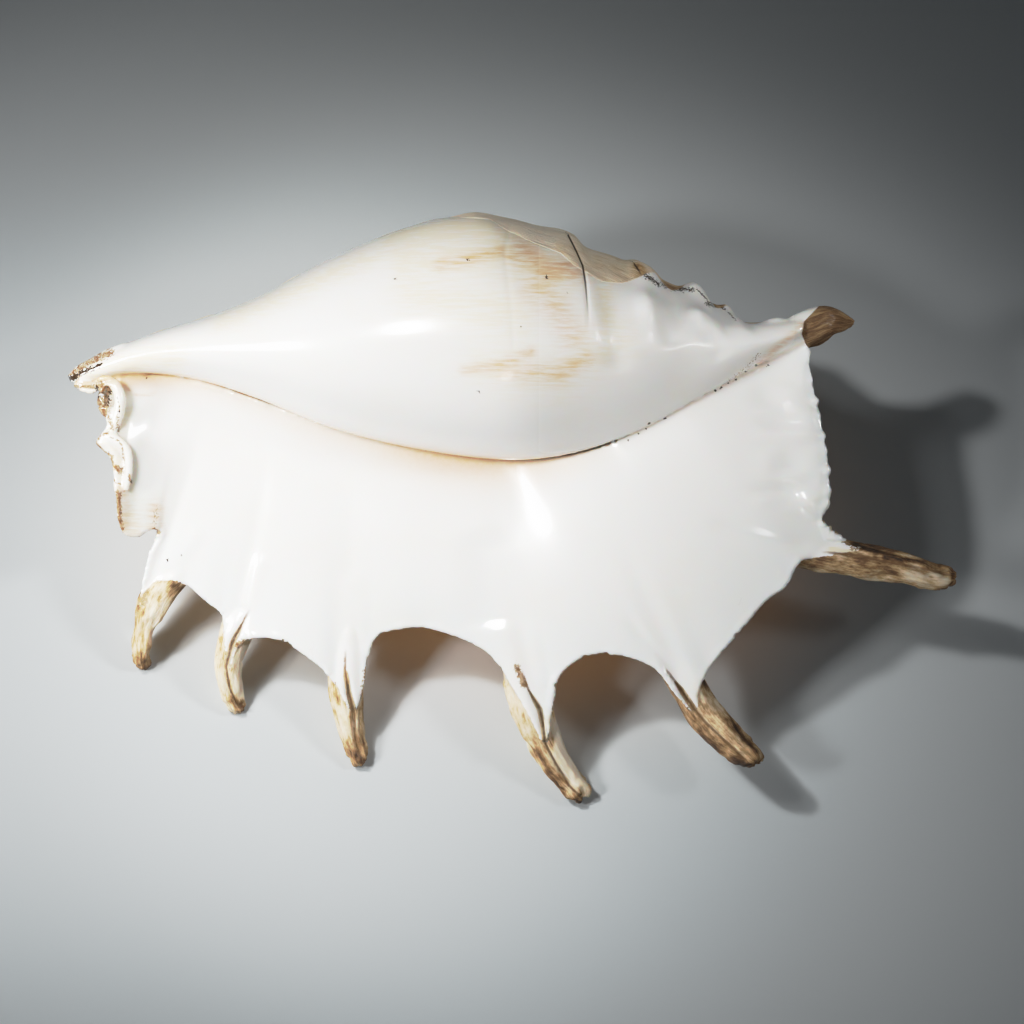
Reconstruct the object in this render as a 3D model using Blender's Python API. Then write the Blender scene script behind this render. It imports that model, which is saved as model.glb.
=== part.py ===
"""A giant spider conch shell lying on its back with the mouth up. Metres, +Z up.

The shell is drawn in its own frame, in millimetres: x towards the spire, y towards the back of
the big whorl and z out of the mouth. It is then leaned over and set down on the ground plane.
"""

import math
from dataclasses import dataclass

import bpy
import numpy as np
from mathutils import Matrix

MM = 0.001
UP = np.array([0.0, 0.0, 1.0])
LEAN = math.radians(12.0)  # the mouth leans this far towards the side of the digits
REST_HEIGHT = -44.4  # mm, height of the ground under the leaned shell, in the shell's frame
WORN_SPOT_SIZE = 900.0  # mm, side of the block that wears the lowest spots flat

RIM_THICKNESS = 2.2  # mm, at the free edge of the lip
LIP_THICKNESS = 7.0  # mm, where the lip leaves the whorl
LIP_BULGE = 4.0  # mm, how far the lip swells between the mouth and its edge
BULGE_GAP = 6.0  # mm, opening of the mouth from which the lip swells fully
THICK_FROM = 0.6  # of the way in from its edge, where the lip reaches its full thickness
EVENING_STATIONS = 19  # stations of the edge that its evened line is drawn from

MOUTH_GAP = 12.0  # mm, widest opening between the whorl and the lip
NARROW_GAP = 2.8  # mm, opening at the two ends of the mouth
MOUTH_OPENS = (-150.0, -60.0)  # mm along x, where it widens from the siphon
MOUTH_CLOSES = (40.0, 100.0)  # mm along x, where it narrows to the spire
CHAMBER_DEEPENS = (-135.0, -90.0)  # mm along x, where the space inside the mouth starts
CHAMBER_ENDS = (68.0, 92.0)  # mm along x, where it runs out
SHALLOW = 0.12  # of its full depth, how deep that space is at its two ends
CHAMBER_SWELL = 0.14  # of the whorl's half height, how far it widens
BLIND_END = 0.15  # of the mouth's opening, how wide its blind end is

KNOB_REACH = 0.55  # of a knob's width, how far it spreads along x
KNOB_TURN = 1.5  # degrees round the whorl for each millimetre of a knob's width
SUTURE_SHIFT = 9.0  # mm along x, how far a suture moves in a quarter of a turn
SUTURE_EDGE = 1.5  # mm, half the width of its step
SUTURE_FADE = 12.0  # mm, how soon the whorl behind it sinks back
SUTURE_RISES = (-100.0, -70.0)  # degrees round the whorl, where the steps start
SUTURE_FADES = (45.0, 115.0)  # degrees, where they run out under the glaze

TIP_LENGTH = 0.6  # of a digit's last radius, how far its blunt tip stands out
TIP_RADIUS = 0.55  # of that radius, the tip's own

LIP_STEPS = 12  # points across the inside of the lip
OUTER_STEPS = 7  # points across its outside, which ends where the belly starts
FALL_STEPS = 8  # points from the lip's outside down to the belly
QUARTER_STEPS = 9  # points round a quarter of the whorl
CHAMBER_STEPS = 8  # points down each wall of the space inside the mouth

GRAIN = 1.3 * MM  # size of the cells that fuse the pieces into one solid
TRIANGLE_SHARE = 0.042  # of the fused mesh's triangles that the finished solid keeps
SHELL_COLOUR = (0.86, 0.82, 0.74, 1.0)


@dataclass(frozen=True)
class Section:
    """The whorl's section at one x: its back, slit, front, belly and the floor of the mouth."""

    x: float
    back: float
    slit: float
    front: float
    belly: float
    floor: float


@dataclass(frozen=True)
class Deep:
    """A place on the way into the shell, in half widths and half heights from the whorl's middle."""

    way: float
    y: float
    z: float


@dataclass(frozen=True)
class Rim:
    """One point of the lip's free edge, and the x at which its line starts in the mouth."""

    root_x: float
    x: float
    y: float
    z: float
    thickness: float = RIM_THICKNESS


@dataclass(frozen=True)
class Digit:
    """A hollow finger of the lip: a route of (x, y, z, radius), root first."""

    name: str
    route: tuple


@dataclass(frozen=True)
class Knob:
    """A shoulder knob: its turn round the whorl in degrees, its place along x and its height."""

    turn: float
    x: float
    height: float
    width: float


WHORL = (
    Section(-160.0, 49.0, 46.5, -3.0, -9.0, -5.0),
    Section(-150.0, 55.5, 48.0, 0.0, -14.0, -6.0),
    Section(-140.0, 60.5, 49.5, 4.0, -17.0, -7.0),
    Section(-125.0, 66.0, 49.5, 9.0, -21.0, -8.0),
    Section(-110.0, 70.5, 47.0, 14.0, -25.0, -8.5),
    Section(-92.0, 77.5, 41.0, 21.0, -30.0, -9.0),
    Section(-66.0, 91.3, 30.5, 31.0, -39.0, -9.0),
    Section(-40.0, 102.0, 23.8, 38.0, -47.0, -9.0),
    Section(-22.0, 106.8, 20.5, 41.0, -51.0, -8.5),
    Section(-8.0, 107.4, 19.0, 42.0, -53.0, -8.0),
    Section(5.0, 103.3, 18.7, 42.0, -54.0, -7.5),
    Section(20.0, 98.6, 20.5, 40.0, -53.0, -6.5),
    Section(35.0, 91.8, 24.8, 36.0, -48.0, -5.0),
    Section(50.0, 84.6, 31.3, 30.0, -40.0, -3.0),
    Section(65.0, 77.4, 39.6, 23.0, -31.0, -1.0),
    Section(80.0, 69.5, 47.9, 17.0, -21.0, 1.0),
    Section(92.0, 68.4, 54.4, 13.0, -12.0, 2.5),
    Section(103.0, 69.8, 60.1, 10.0, -5.0, 3.5),
    Section(110.0, 72.4, 65.5, 7.0, -2.0, 3.5),
)

HIND_MARGIN = (
    Rim(104.8, 106.9, 61.9, 4.0),
    Rim(101.9, 107.6, 55.4, 6.0),
    Rim(97.6, 108.7, 45.7, 8.0),
    Rim(93.2, 110.9, 36.0, 9.0),
    Rim(88.9, 112.7, 25.9, 10.0),
    Rim(84.6, 114.1, 15.1, 10.0),
    Rim(80.6, 114.1, 4.3, 9.0),
    Rim(76.7, 112.0, -3.6, 8.0),
)
DIGIT_1_TONGUE = (
    Rim(73.4, 115.2, -9.4, 6.0),
    Rim(70.2, 126.0, -13.3, 3.0),
    Rim(67.3, 113.8, -15.8, 4.0),
)
ARCH_1_TO_2 = (
    Rim(64.1, 103.0, -18.4, 6.0),
    Rim(58.7, 99.4, -25.6, 5.0),
    Rim(51.5, 91.1, -32.4, 4.0),
    Rim(44.3, 83.9, -40.7, 3.0),
    Rim(37.8, 77.8, -47.9, 2.0),
)
DIGIT_2_TONGUE = (
    Rim(31.7, 71.3, -56.2, 0.0),
    Rim(27.4, 67.3, -64.1, -1.0),
    Rim(23.4, 66.6, -72.7, -4.0),
    Rim(19.4, 59.8, -67.0, -1.0),
)
ARCH_2_TO_3 = (
    Rim(14.8, 51.5, -56.5, 0.0),
    Rim(10.1, 42.5, -52.6, 0.5),
    Rim(4.7, 31.7, -51.1, 0.0),
    Rim(-0.4, 21.6, -54.7, -1.5),
)
DIGIT_3_TONGUE = (
    Rim(-4.3, 16.6, -60.5, -3.0),
    Rim(-7.6, 14.8, -69.5, -6.0),
    Rim(-10.8, 11.9, -83.9, -9.0),
    Rim(-14.4, 5.8, -72.7, -7.0),
    Rim(-18.4, -1.4, -61.2, -7.0),
)
ARCH_3_TO_4 = (
    Rim(-22.7, -7.2, -52.2, -7.5),
    Rim(-29.2, -16.9, -46.4, -8.5),
    Rim(-36.7, -29.5, -42.1, -9.5),
    Rim(-43.9, -42.1, -42.5, -10.0),
    Rim(-49.0, -49.0, -45.4, -11.0),
)
DIGIT_4_TONGUE = (
    Rim(-52.6, -52.2, -53.3, -13.0),
    Rim(-55.4, -54.0, -64.1, -15.0),
    Rim(-58.3, -57.6, -73.1, -18.0),
    Rim(-61.6, -62.6, -64.8, -15.0),
)
ARCH_4_TO_5 = (
    Rim(-65.2, -68.4, -56.9, -12.0),
    Rim(-69.8, -76.3, -50.8, -11.0),
    Rim(-74.5, -83.5, -46.4, -11.0),
    Rim(-78.8, -90.0, -45.7, -12.0),
    Rim(-82.4, -96.8, -46.4, -14.0),
)
DIGIT_5_TONGUE = (
    Rim(-85.3, -103.3, -57.6, -20.0),
    Rim(-88.2, -104.4, -46.1, -17.0),
)
ARCH_5_TO_6 = (
    Rim(-91.4, -105.8, -36.0, -15.0),
    Rim(-95.0, -111.2, -32.0, -14.0),
    Rim(-98.6, -116.6, -27.4, -14.0),
    Rim(-102.2, -123.1, -24.8, -14.5),
)
DIGIT_6_TONGUE = (
    Rim(-105.5, -129.6, -28.8, -16.0),
    Rim(-108.0, -136.4, -38.9, -20.0),
    Rim(-110.2, -134.6, -28.8, -16.0),
)
NOTCH = (
    Rim(-112.3, -132.5, -19.1, -13.0),
    Rim(-114.5, -130.3, -11.9, -11.0),
    Rim(-116.6, -127.4, -6.8, -9.0),
    Rim(-118.8, -130.3, -6.5, -7.5),
    Rim(-121.3, -134.6, -9.4, -6.0),
    Rim(-123.8, -139.0, -9.0, -4.0),
)
RUFFLE = (
    Rim(-126.7, -141.8, -4.3, -1.0, 4.0),
    Rim(-129.2, -142.2, 2.5, 1.0, 5.0),
    Rim(-131.8, -142.9, 9.0, 2.0, 5.5),
    Rim(-133.9, -144.0, 18.7, 3.0, 6.0),
    Rim(-136.1, -149.0, 25.6, 4.0, 6.5),
    Rim(-138.2, -144.7, 30.2, 4.0, 6.0),
    Rim(-140.4, -149.0, 38.9, 5.0, 7.0),
    Rim(-142.6, -148.3, 45.4, 4.0, 5.0),
)
CANAL_EDGE = (
    Rim(-146.2, -150.8, 42.8, -1.0),
    Rim(-151.2, -156.2, 43.9, -3.0),
    Rim(-156.2, -159.1, 46.1, -4.0),
)
LIP = (
    HIND_MARGIN + DIGIT_1_TONGUE + ARCH_1_TO_2 + DIGIT_2_TONGUE + ARCH_2_TO_3 + DIGIT_3_TONGUE
    + ARCH_3_TO_4 + DIGIT_4_TONGUE + ARCH_4_TO_5 + DIGIT_5_TONGUE + ARCH_5_TO_6 + DIGIT_6_TONGUE
    + NOTCH + RUFFLE + CANAL_EDGE
)

DIGITS = (
    Digit("hind_digit", (
        (94.0, 62.0, 0.0, 5.0),
        (101.9, 65.5, 1.0, 6.0),
        (109.0, 67.2, 1.5, 6.6),
        (116.3, 68.6, 0.5, 5.8),
        (121.0, 68.8, -1.5, 3.0),
    )),
    Digit("digit_1", (
        (60.0, 4.0, -1.5, 2.5),
        (82.0, -6.0, -1.5, 5.0),
        (103.7, -13.7, -1.0, 6.5),
        (119.9, -16.6, 0.0, 6.5),
        (137.2, -19.4, -0.5, 6.2),
        (150.5, -23.4, -1.5, 5.5),
        (157.5, -23.8, -2.5, 4.4),
    )),
    Digit("digit_2", (
        (30.0, -12.0, -5.0, 2.5),
        (46.0, -36.0, -6.5, 5.0),
        (60.5, -56.9, -7.0, 7.0),
        (69.1, -72.0, -8.0, 7.0),
        (79.2, -82.8, -6.0, 6.3),
        (86.5, -89.0, -3.5, 4.6),
    )),
    Digit("digit_3", (
        (-4.0, -12.0, -9.5, 2.5),
        (0.0, -34.0, -12.5, 5.0),
        (5.8, -53.3, -13.0, 7.5),
        (9.0, -69.5, -15.0, 7.2),
        (15.8, -86.4, -18.5, 5.8),
        (26.2, -103.3, -21.0, 3.8),
    )),
    Digit("digit_4", (
        (-56.0, -10.0, -11.5, 2.5),
        (-58.0, -32.0, -15.5, 5.0),
        (-58.7, -49.7, -17.0, 6.5),
        (-59.0, -67.7, -20.0, 6.0),
        (-57.6, -80.3, -22.5, 4.8),
        (-55.8, -87.5, -24.5, 3.4),
    )),
    Digit("digit_5", (
        (-84.0, -10.0, -12.0, 2.5),
        (-92.0, -28.0, -17.0, 4.5),
        (-98.6, -40.7, -19.0, 6.0),
        (-101.9, -54.0, -22.5, 5.0),
        (-101.2, -64.8, -26.6, 4.0),
        (-99.2, -70.6, -28.7, 3.0),
    )),
    Digit("digit_6", (
        (-100.0, -2.0, -12.0, 2.5),
        (-114.0, -16.0, -16.0, 4.5),
        (-125.6, -27.4, -19.5, 6.5),
        (-131.8, -39.6, -23.5, 5.2),
        (-133.9, -51.5, -29.5, 4.0),
        (-133.9, -56.0, -31.8, 3.2),
    )),
    Digit("siphon_tip", (
        (-138.0, 56.0, -4.0, 5.6),
        (-144.0, 54.0, -5.0, 5.4),
        (-150.1, 51.8, -6.0, 4.4),
        (-155.5, 50.0, -7.0, 3.4),
        (-158.5, 48.8, -7.6, 2.2),
    )),
)

KNOBS = (
    Knob(-128.0, -6.0, 4.0, 15.0),
    Knob(-88.0, 1.0, 7.5, 15.0),
    Knob(-48.0, 8.0, 5.0, 14.0),
    Knob(-14.0, 14.0, 1.5, 12.0),
    Knob(-60.0, 46.0, 4.5, 10.0),
    Knob(-20.0, 45.0, 4.0, 9.0),
    Knob(20.0, 46.0, 3.5, 9.0),
    Knob(58.0, 50.0, 3.5, 9.0),
    Knob(-35.0, 65.0, 3.5, 8.0),
    Knob(10.0, 66.0, 3.5, 8.0),
    Knob(52.0, 68.0, 2.5, 8.0),
    Knob(0.0, 77.0, 2.5, 6.0),
)
SUTURES = (24.0, 51.0, 69.0, 80.0)  # mm along x, where each whorl meets the next at the back
STEP_DEPTH = 2.6  # mm, the drop at a suture

CHAMBER = (
    Deep(0.0, -1.0, 0.12),
    Deep(0.2, -0.68, -0.3),
    Deep(0.4, -0.25, -0.58),
    Deep(0.6, 0.25, -0.62),
    Deep(0.8, 0.66, -0.38),
    Deep(1.0, 0.8, 0.02),
)  # from the mouth, down under the core and up behind it


def spread(samples, keys, values):
    """A smooth curve through values at the rising keys, read at the samples."""
    keys = np.asarray(keys, float)
    values = np.asarray(values, float)
    slopes = np.gradient(values, keys)
    cell = np.clip(np.searchsorted(keys, samples) - 1, 0, len(keys) - 2)
    width = keys[cell + 1] - keys[cell]
    t = (samples - keys[cell]) / width
    start = (1 + 2 * t) * (1 - t) ** 2 * values[cell] + t * (1 - t) ** 2 * width * slopes[cell]
    end = t * t * (3 - 2 * t) * values[cell + 1] + t * t * (t - 1) * width * slopes[cell + 1]
    return start + end


def ease(value, low, high):
    """0 below low, 1 above high and a smooth rise between them."""
    t = np.clip((value - low) / (high - low), 0.0, 1.0)
    return t * t * (3 - 2 * t)


def stack(x, y, z):
    """Points of shape (stations, steps, 3) from three arrays that spread to each other."""
    return np.stack(np.broadcast_arrays(x, y, z), axis=-1)


class Whorl:
    """The sizes of the whorl at each station of the loft, as columns."""

    def __init__(self, root_x):
        rows = {name: [getattr(s, name) for s in WHORL] for name in WHORL[0].__dataclass_fields__}
        self.x = root_x[:, None]
        for name in ("back", "slit", "front", "belly", "floor"):
            setattr(self, name, spread(self.x, rows["x"], rows[name]))
        self.middle_y = (self.back + self.slit) / 2
        self.half_y = (self.back - self.slit) / 2
        self.middle_z = (self.front + self.belly) / 2
        deep = ease(self.x, *CHAMBER_DEEPENS) * (1 - ease(self.x, *CHAMBER_ENDS))
        self.depth = SHALLOW + (1 - SHALLOW) * deep
        opening = ease(self.x, *MOUTH_OPENS) * (1 - ease(self.x, *MOUTH_CLOSES))
        self.gap = NARROW_GAP + (MOUTH_GAP - NARROW_GAP) * opening
        self.ceiling = self.floor + self.gap


def relief(x, turn):
    """How far the shoulder knobs and the whorls' steps stand out, at x and a turn in degrees."""
    out = np.zeros(np.broadcast(x, turn).shape)
    for knob in KNOBS:
        along = (x - knob.x) / (knob.width * KNOB_REACH)
        around = (turn - knob.turn) / (knob.width * KNOB_TURN)
        out += knob.height * np.exp(-(along**2) - around**2)
    shift = SUTURE_SHIFT * turn / 90.0
    above = ease(turn, *SUTURE_RISES) * (1 - ease(turn, *SUTURE_FADES))
    for suture in SUTURES:
        behind = x - suture - shift
        step = ease(-behind, -SUTURE_EDGE, SUTURE_EDGE)
        drop = step * np.exp(np.minimum(behind, 0.0) / SUTURE_FADE)
        out += STEP_DEPTH * above * drop
    return out


def whorl_arc(whorl, angles, height_centre, height):
    """A quarter of the whorl's section: angles in degrees from the back, with its relief."""
    turn = angles[None, :]
    radians = np.radians(turn)
    out = relief(whorl.x, turn)
    y = whorl.middle_y + (whorl.half_y + out) * np.cos(radians)
    z = height_centre + (height + out) * np.sin(radians)
    return stack(whorl.x, y, z)


def even_rim(edge):
    """The edge of the lip with its digits and arches evened out."""
    weights = np.hanning(EVENING_STATIONS)
    weights /= weights.sum()
    half = EVENING_STATIONS // 2
    padded = np.pad(edge[:, 0], ((half, half), (0, 0)), mode="edge")
    columns = [np.convolve(padded[:, axis], weights, mode="valid") for axis in range(3)]
    return np.stack(columns, axis=1)[:, None, :]


class Lip:
    """The lip at each station of the loft: its root in the mouth, its edge and how it lies between."""

    def __init__(self, whorl, rim):
        self.root = np.concatenate([whorl.x, whorl.slit, whorl.floor], axis=1)[:, None, :]
        edge = np.array([[r.x, r.y, r.z] for r in rim])[:, None, :]
        self.half = np.array([r.thickness / 2 for r in rim])[:, None, None]
        outward = (edge - self.root) * (1.0, 1.0, 0.0)
        self.outward = outward / np.linalg.norm(outward, axis=2, keepdims=True)
        self.centre = edge - self.outward * self.half
        self.bulge = LIP_BULGE * UP * np.minimum(whorl.gap[:, None] / BULGE_GAP, 1.0)
        self.spread_out = edge - even_rim(edge)

    def face(self, along, side):
        """The inner face of the lip at side 1 and the outer one at side -1, from its root to its edge."""
        swell = np.sin(math.pi * along) * self.bulge
        bend = self.spread_out * (along**3 - along)
        return self.root + (self.centre + side * UP * self.half - self.root) * along + swell + bend


def lip_faces(whorl, rim):
    """The inner face of the lip, its rolled edge and its outer face down to the belly."""
    lip = Lip(whorl, rim)
    along = np.linspace(0.0, 1.0, LIP_STEPS)[None, :, None]
    inner = lip.face(along, 1)

    round_over = np.radians([60.0, 0.0, -60.0])[None, :, None]
    edge_roll = lip.centre + lip.half * (lip.outward * np.cos(round_over) + UP * np.sin(round_over))

    thickness = np.minimum(LIP_THICKNESS, 0.5 * (whorl.floor - whorl.belly))[:, :, None]
    back = along[:, ::-1][:, :OUTER_STEPS]
    thicker = np.maximum(thickness - 2 * lip.half, 0.0) * ease(1 - back, 0.0, THICK_FROM)
    outer = lip.face(back, -1) - UP * thicker
    return np.concatenate([inner, edge_roll, outer, fall_to_belly(whorl, outer)], axis=1)


def fall_to_belly(whorl, outer):
    """The smooth way from the lip's outer face to the lowest line of the whorl."""
    belly = stack(whorl.x, whorl.middle_y, whorl.belly)
    start = outer[:, -1:]
    step = np.linspace(0.0, 1.0, FALL_STEPS)[None, 1:-1, None]
    reach = np.linalg.norm(belly - start, axis=2, keepdims=True)
    leave = start - outer[:, -2:-1]
    leave = leave / np.linalg.norm(leave, axis=2, keepdims=True) * reach
    arrive = np.array([0.0, 1.0, 0.0]) * reach
    return (
        (1 + 2 * step) * (1 - step) ** 2 * start
        + step * (1 - step) ** 2 * leave
        + step**2 * (3 - 2 * step) * belly
        + step**2 * (step - 1) * arrive
    )


def hollow(whorl):
    """The walls of the space inside the mouth: along the core, round the blind end and back."""
    along = np.linspace(0.0, 1.0, CHAMBER_STEPS)[None, 1:]
    ways = [place.way for place in CHAMBER]
    path_y = spread(along, ways, [place.y for place in CHAMBER])
    path_z = spread(along, ways, [place.z for place in CHAMBER])
    start_z = whorl.floor + whorl.gap / 2
    height = whorl.middle_z - whorl.belly
    y = whorl.slit + whorl.depth * (whorl.middle_y + path_y * whorl.half_y - whorl.slit)
    z = start_z + whorl.depth * (whorl.middle_z + path_z * height - start_z)
    across_y = np.gradient(y, axis=1)
    across_z = np.gradient(z, axis=1)
    length = np.hypot(across_y, across_z)
    swelling = CHAMBER_SWELL * height * whorl.depth * np.sin(math.pi * along)
    half = whorl.gap / 2 * (1 - (1 - BLIND_END) * along) + swelling
    core = stack(whorl.x, y - half * across_z / length, z + half * across_y / length)
    wall = stack(whorl.x, y + half * across_z / length, z - half * across_y / length)
    return np.concatenate([core, wall[:, ::-1]], axis=1)


def loft_rings():
    """The closed rings of the whorl and the lip, from the spire to the siphon."""
    whorl = Whorl(np.array([r.root_x for r in LIP]))
    height = whorl.middle_z - whorl.belly
    quarter = np.linspace(0.0, 90.0, QUARTER_STEPS)
    dorsal = whorl_arc(whorl, quarter - 90.0, whorl.middle_z, height)
    ventral = whorl_arc(whorl, quarter[1:], whorl.middle_z, height)
    callus = whorl_arc(whorl, quarter[1:] + 90.0, whorl.ceiling, whorl.front - whorl.ceiling)
    return np.concatenate([lip_faces(whorl, LIP), dorsal, ventral, callus, hollow(whorl)], axis=1)


def tube_rings(route, sides=12, steps=4):
    """Round rings along a digit, closing to a blunt tip."""
    route = np.array(route)
    keys = np.arange(len(route), dtype=float)
    samples = np.linspace(0.0, keys[-1], steps * (len(route) - 1) + 1)
    centre = np.stack([spread(samples, keys, route[:, k]) for k in range(3)], axis=1)
    radius = spread(samples, keys, route[:, 3])
    ahead = np.gradient(centre, axis=0)
    ahead /= np.linalg.norm(ahead, axis=1, keepdims=True)
    tip = centre[-1:] + ahead[-1:] * radius[-1] * TIP_LENGTH
    centre = np.concatenate([centre, tip])
    ahead = np.concatenate([ahead, ahead[-1:]])
    radius = np.append(radius, radius[-1] * TIP_RADIUS)
    side = np.cross(ahead, UP)
    side /= np.linalg.norm(side, axis=1, keepdims=True)
    top = np.cross(side, ahead)
    angle = np.linspace(0.0, 2 * math.pi, sides, endpoint=False)[None, :, None]
    spoke = side[:, None] * np.cos(angle) + top[:, None] * np.sin(angle)
    return centre[:, None] + radius[:, None, None] * spoke


def ring_mesh(name, rings):
    """A closed mesh through a pile of rings, with a flat cap on each end."""
    count, sides, _ = rings.shape
    faces = []
    for row in range(count - 1):
        for side in range(sides):
            after = (side + 1) % sides
            low = row * sides
            high = low + sides
            faces.append((low + side, low + after, high + after, high + side))
    faces.append(tuple(range(sides))[::-1])
    faces.append(tuple(range((count - 1) * sides, count * sides)))
    mesh = bpy.data.meshes.new(name)
    mesh.from_pydata((rings.reshape(-1, 3) * MM).tolist(), [], faces)
    mesh.validate()
    return mesh


def clear_scene():
    """Removes whatever the scene holds."""
    for obj in list(bpy.data.objects):
        bpy.data.objects.remove(obj, do_unlink=True)


def add_object(name, mesh):
    """Links a new object with this mesh to the scene."""
    obj = bpy.data.objects.new(name, mesh)
    bpy.context.collection.objects.link(obj)
    return obj


def shell_material():
    """The shell's pale, glossy lime."""
    material = bpy.data.materials.new("shell_lime")
    material.use_nodes = True
    surface = material.node_tree.nodes["Principled BSDF"]
    surface.inputs["Base Color"].default_value = SHELL_COLOUR
    surface.inputs["Roughness"].default_value = 0.3
    surface.inputs["Metallic"].default_value = 0.0
    return material


def join_pieces(pieces):
    """Joins the pieces into the first one and returns it."""
    bpy.ops.object.select_all(action="DESELECT")
    for piece in pieces:
        piece.select_set(True)
    bpy.context.view_layer.objects.active = pieces[0]
    bpy.ops.object.join()
    return bpy.context.view_layer.objects.active


def outward_faces(obj):
    """Turns every face of the object outwards."""
    bpy.context.view_layer.objects.active = obj
    bpy.ops.object.mode_set(mode="EDIT")
    bpy.ops.mesh.select_all(action="SELECT")
    bpy.ops.mesh.normals_make_consistent(inside=False)
    bpy.ops.object.mode_set(mode="OBJECT")


def add_wear_block():
    """The block under the ground plane that wears the lowest spots flat."""
    bpy.ops.mesh.primitive_cube_add(size=WORN_SPOT_SIZE * MM)
    block = bpy.context.object
    block.name = "ground_cutter"
    block.location.z = (REST_HEIGHT - WORN_SPOT_SIZE / 2) * MM
    block.hide_render = True
    block.display_type = "WIRE"
    return block


def fuse(shell, block):
    """Fuses the joined pieces into one skin and wears its lowest spots flat."""
    remesh = shell.modifiers.new("Fuse", "REMESH")
    remesh.mode = "VOXEL"
    remesh.voxel_size = GRAIN
    smooth = shell.modifiers.new("Soften", "SMOOTH")
    smooth.factor = 0.5
    smooth.iterations = 2
    fewer = shell.modifiers.new("Simplify", "DECIMATE")
    fewer.ratio = TRIANGLE_SHARE
    wear = shell.modifiers.new("Wear", "BOOLEAN")
    wear.operation = "DIFFERENCE"
    wear.solver = "EXACT"
    wear.object = block


def set_down(shell, block):
    """Makes the form final and stands it on the ground with its footprint centred."""
    graph = bpy.context.evaluated_depsgraph_get()
    mesh = bpy.data.meshes.new_from_object(shell.evaluated_get(graph))
    shell.modifiers.clear()
    shell.data = mesh
    bpy.data.objects.remove(block, do_unlink=True)
    points = np.empty(len(mesh.vertices) * 3, np.float32)
    mesh.vertices.foreach_get("co", points)
    points = points.reshape(-1, 3)
    low = points.min(axis=0)
    high = points.max(axis=0)
    shift = ((low[0] + high[0]) / -2, (low[1] + high[1]) / -2, -REST_HEIGHT * MM)
    mesh.transform(Matrix.Translation(shift))


def build_shell():
    """Lofts the whorl with its lip, sweeps the digits and fuses them into one shell."""
    pieces = [add_object("shell", ring_mesh("shell", loft_rings()))]
    for digit in DIGITS:
        pieces.append(add_object(digit.name, ring_mesh(digit.name, tube_rings(digit.route))))
    for piece in pieces:
        outward_faces(piece)
    shell = join_pieces(pieces)
    shell.data.transform(Matrix.Rotation(LEAN, 4, "X"))
    block = add_wear_block()
    fuse(shell, block)
    set_down(shell, block)
    shell.data.materials.clear()
    shell.data.materials.append(shell_material())
    shell.data.shade_smooth()
    return shell


def main():
    clear_scene()
    build_shell()


main()
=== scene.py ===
"""Looks of a giant spider conch shell lying mouth up: its fine form, its finish and the studio.

The shell is drawn in its own frame, in millimetres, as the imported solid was: x towards the spire,
y towards the back of the big whorl and z out of the mouth. Only the finished mesh is in metres.
"""

from __future__ import annotations

import logging
import math
from dataclasses import astuple, dataclass
from enum import Enum, IntEnum
from typing import Iterable

import bpy
import numpy as np
from mathutils.bvhtree import BVHTree
from mathutils.kdtree import KDTree
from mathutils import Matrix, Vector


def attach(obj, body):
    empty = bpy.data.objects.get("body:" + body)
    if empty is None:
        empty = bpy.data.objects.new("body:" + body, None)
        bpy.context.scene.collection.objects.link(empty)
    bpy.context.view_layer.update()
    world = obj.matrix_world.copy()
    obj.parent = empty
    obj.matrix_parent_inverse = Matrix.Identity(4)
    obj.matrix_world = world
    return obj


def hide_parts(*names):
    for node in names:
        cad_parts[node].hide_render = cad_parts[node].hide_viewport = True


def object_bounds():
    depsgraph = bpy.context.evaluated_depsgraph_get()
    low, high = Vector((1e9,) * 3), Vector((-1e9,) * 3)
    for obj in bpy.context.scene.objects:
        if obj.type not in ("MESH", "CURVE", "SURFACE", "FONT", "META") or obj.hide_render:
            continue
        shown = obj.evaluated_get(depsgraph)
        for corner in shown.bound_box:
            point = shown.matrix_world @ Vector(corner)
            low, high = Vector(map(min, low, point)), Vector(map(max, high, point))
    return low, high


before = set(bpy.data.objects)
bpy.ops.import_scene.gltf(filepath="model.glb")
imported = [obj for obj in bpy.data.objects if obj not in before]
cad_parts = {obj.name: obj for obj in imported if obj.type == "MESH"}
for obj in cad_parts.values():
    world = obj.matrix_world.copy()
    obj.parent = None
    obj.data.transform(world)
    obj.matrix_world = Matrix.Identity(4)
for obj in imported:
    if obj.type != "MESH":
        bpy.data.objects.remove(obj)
CAD_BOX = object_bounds()

LOG = logging.getLogger("shell")

MM = 0.001
LEAN = math.radians(12.0)  # the mouth leans this far towards the side of the digits
SET_DOWN = np.array([0.09, -3.52, 44.4])  # mm, the shell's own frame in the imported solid's frame

FAR = 1e9  # mm, past any place on the shell
MERGE = 1e-7  # m, points this close are one
GRAIN_KEYS = (374761393, 668265263, 974634777)  # the odd factors that shuffle the random fields
GRAIN_SHUFFLE = 1274126177

DIGIT_RADIUS = 6.0  # mm, makes the turn round a digit a length

Array = np.ndarray
Colour = tuple[float, float, float, float]
Triple = tuple[float, float, float]
Span = tuple[float, float]
Line = tuple[Span, ...]


class Part(IntEnum):
    """What a stretch of the shell's skin belongs to."""

    LIP_INSIDE = 0
    LIP_EDGE = 1
    LIP_OUTSIDE = 2
    BACK = 3
    FRONT = 4
    CALLUS = 5
    HOLLOW = 6
    DIGIT = 7


class Tint(Enum):
    """The colours that marks are painted in."""

    CREAM = "cream"
    ORANGE = "orange"
    BROWN = "brown"
    DARK = "dark"


class Seed(IntEnum):
    """The random field that each fine form follows."""

    FOLDS = 3
    WRINKLES = 4
    CREASES = 5
    CORDS = 6
    GROWTH = 7
    WEAR = 8
    WAVES = 9
    RIPPLES = 10
    CHIPS = 12
    BUMPS = 13
    PLATES = 14
    LUMPS = 15
    RAGS = 16
    SCALLOPS = 17
    PATINA = 21


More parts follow.
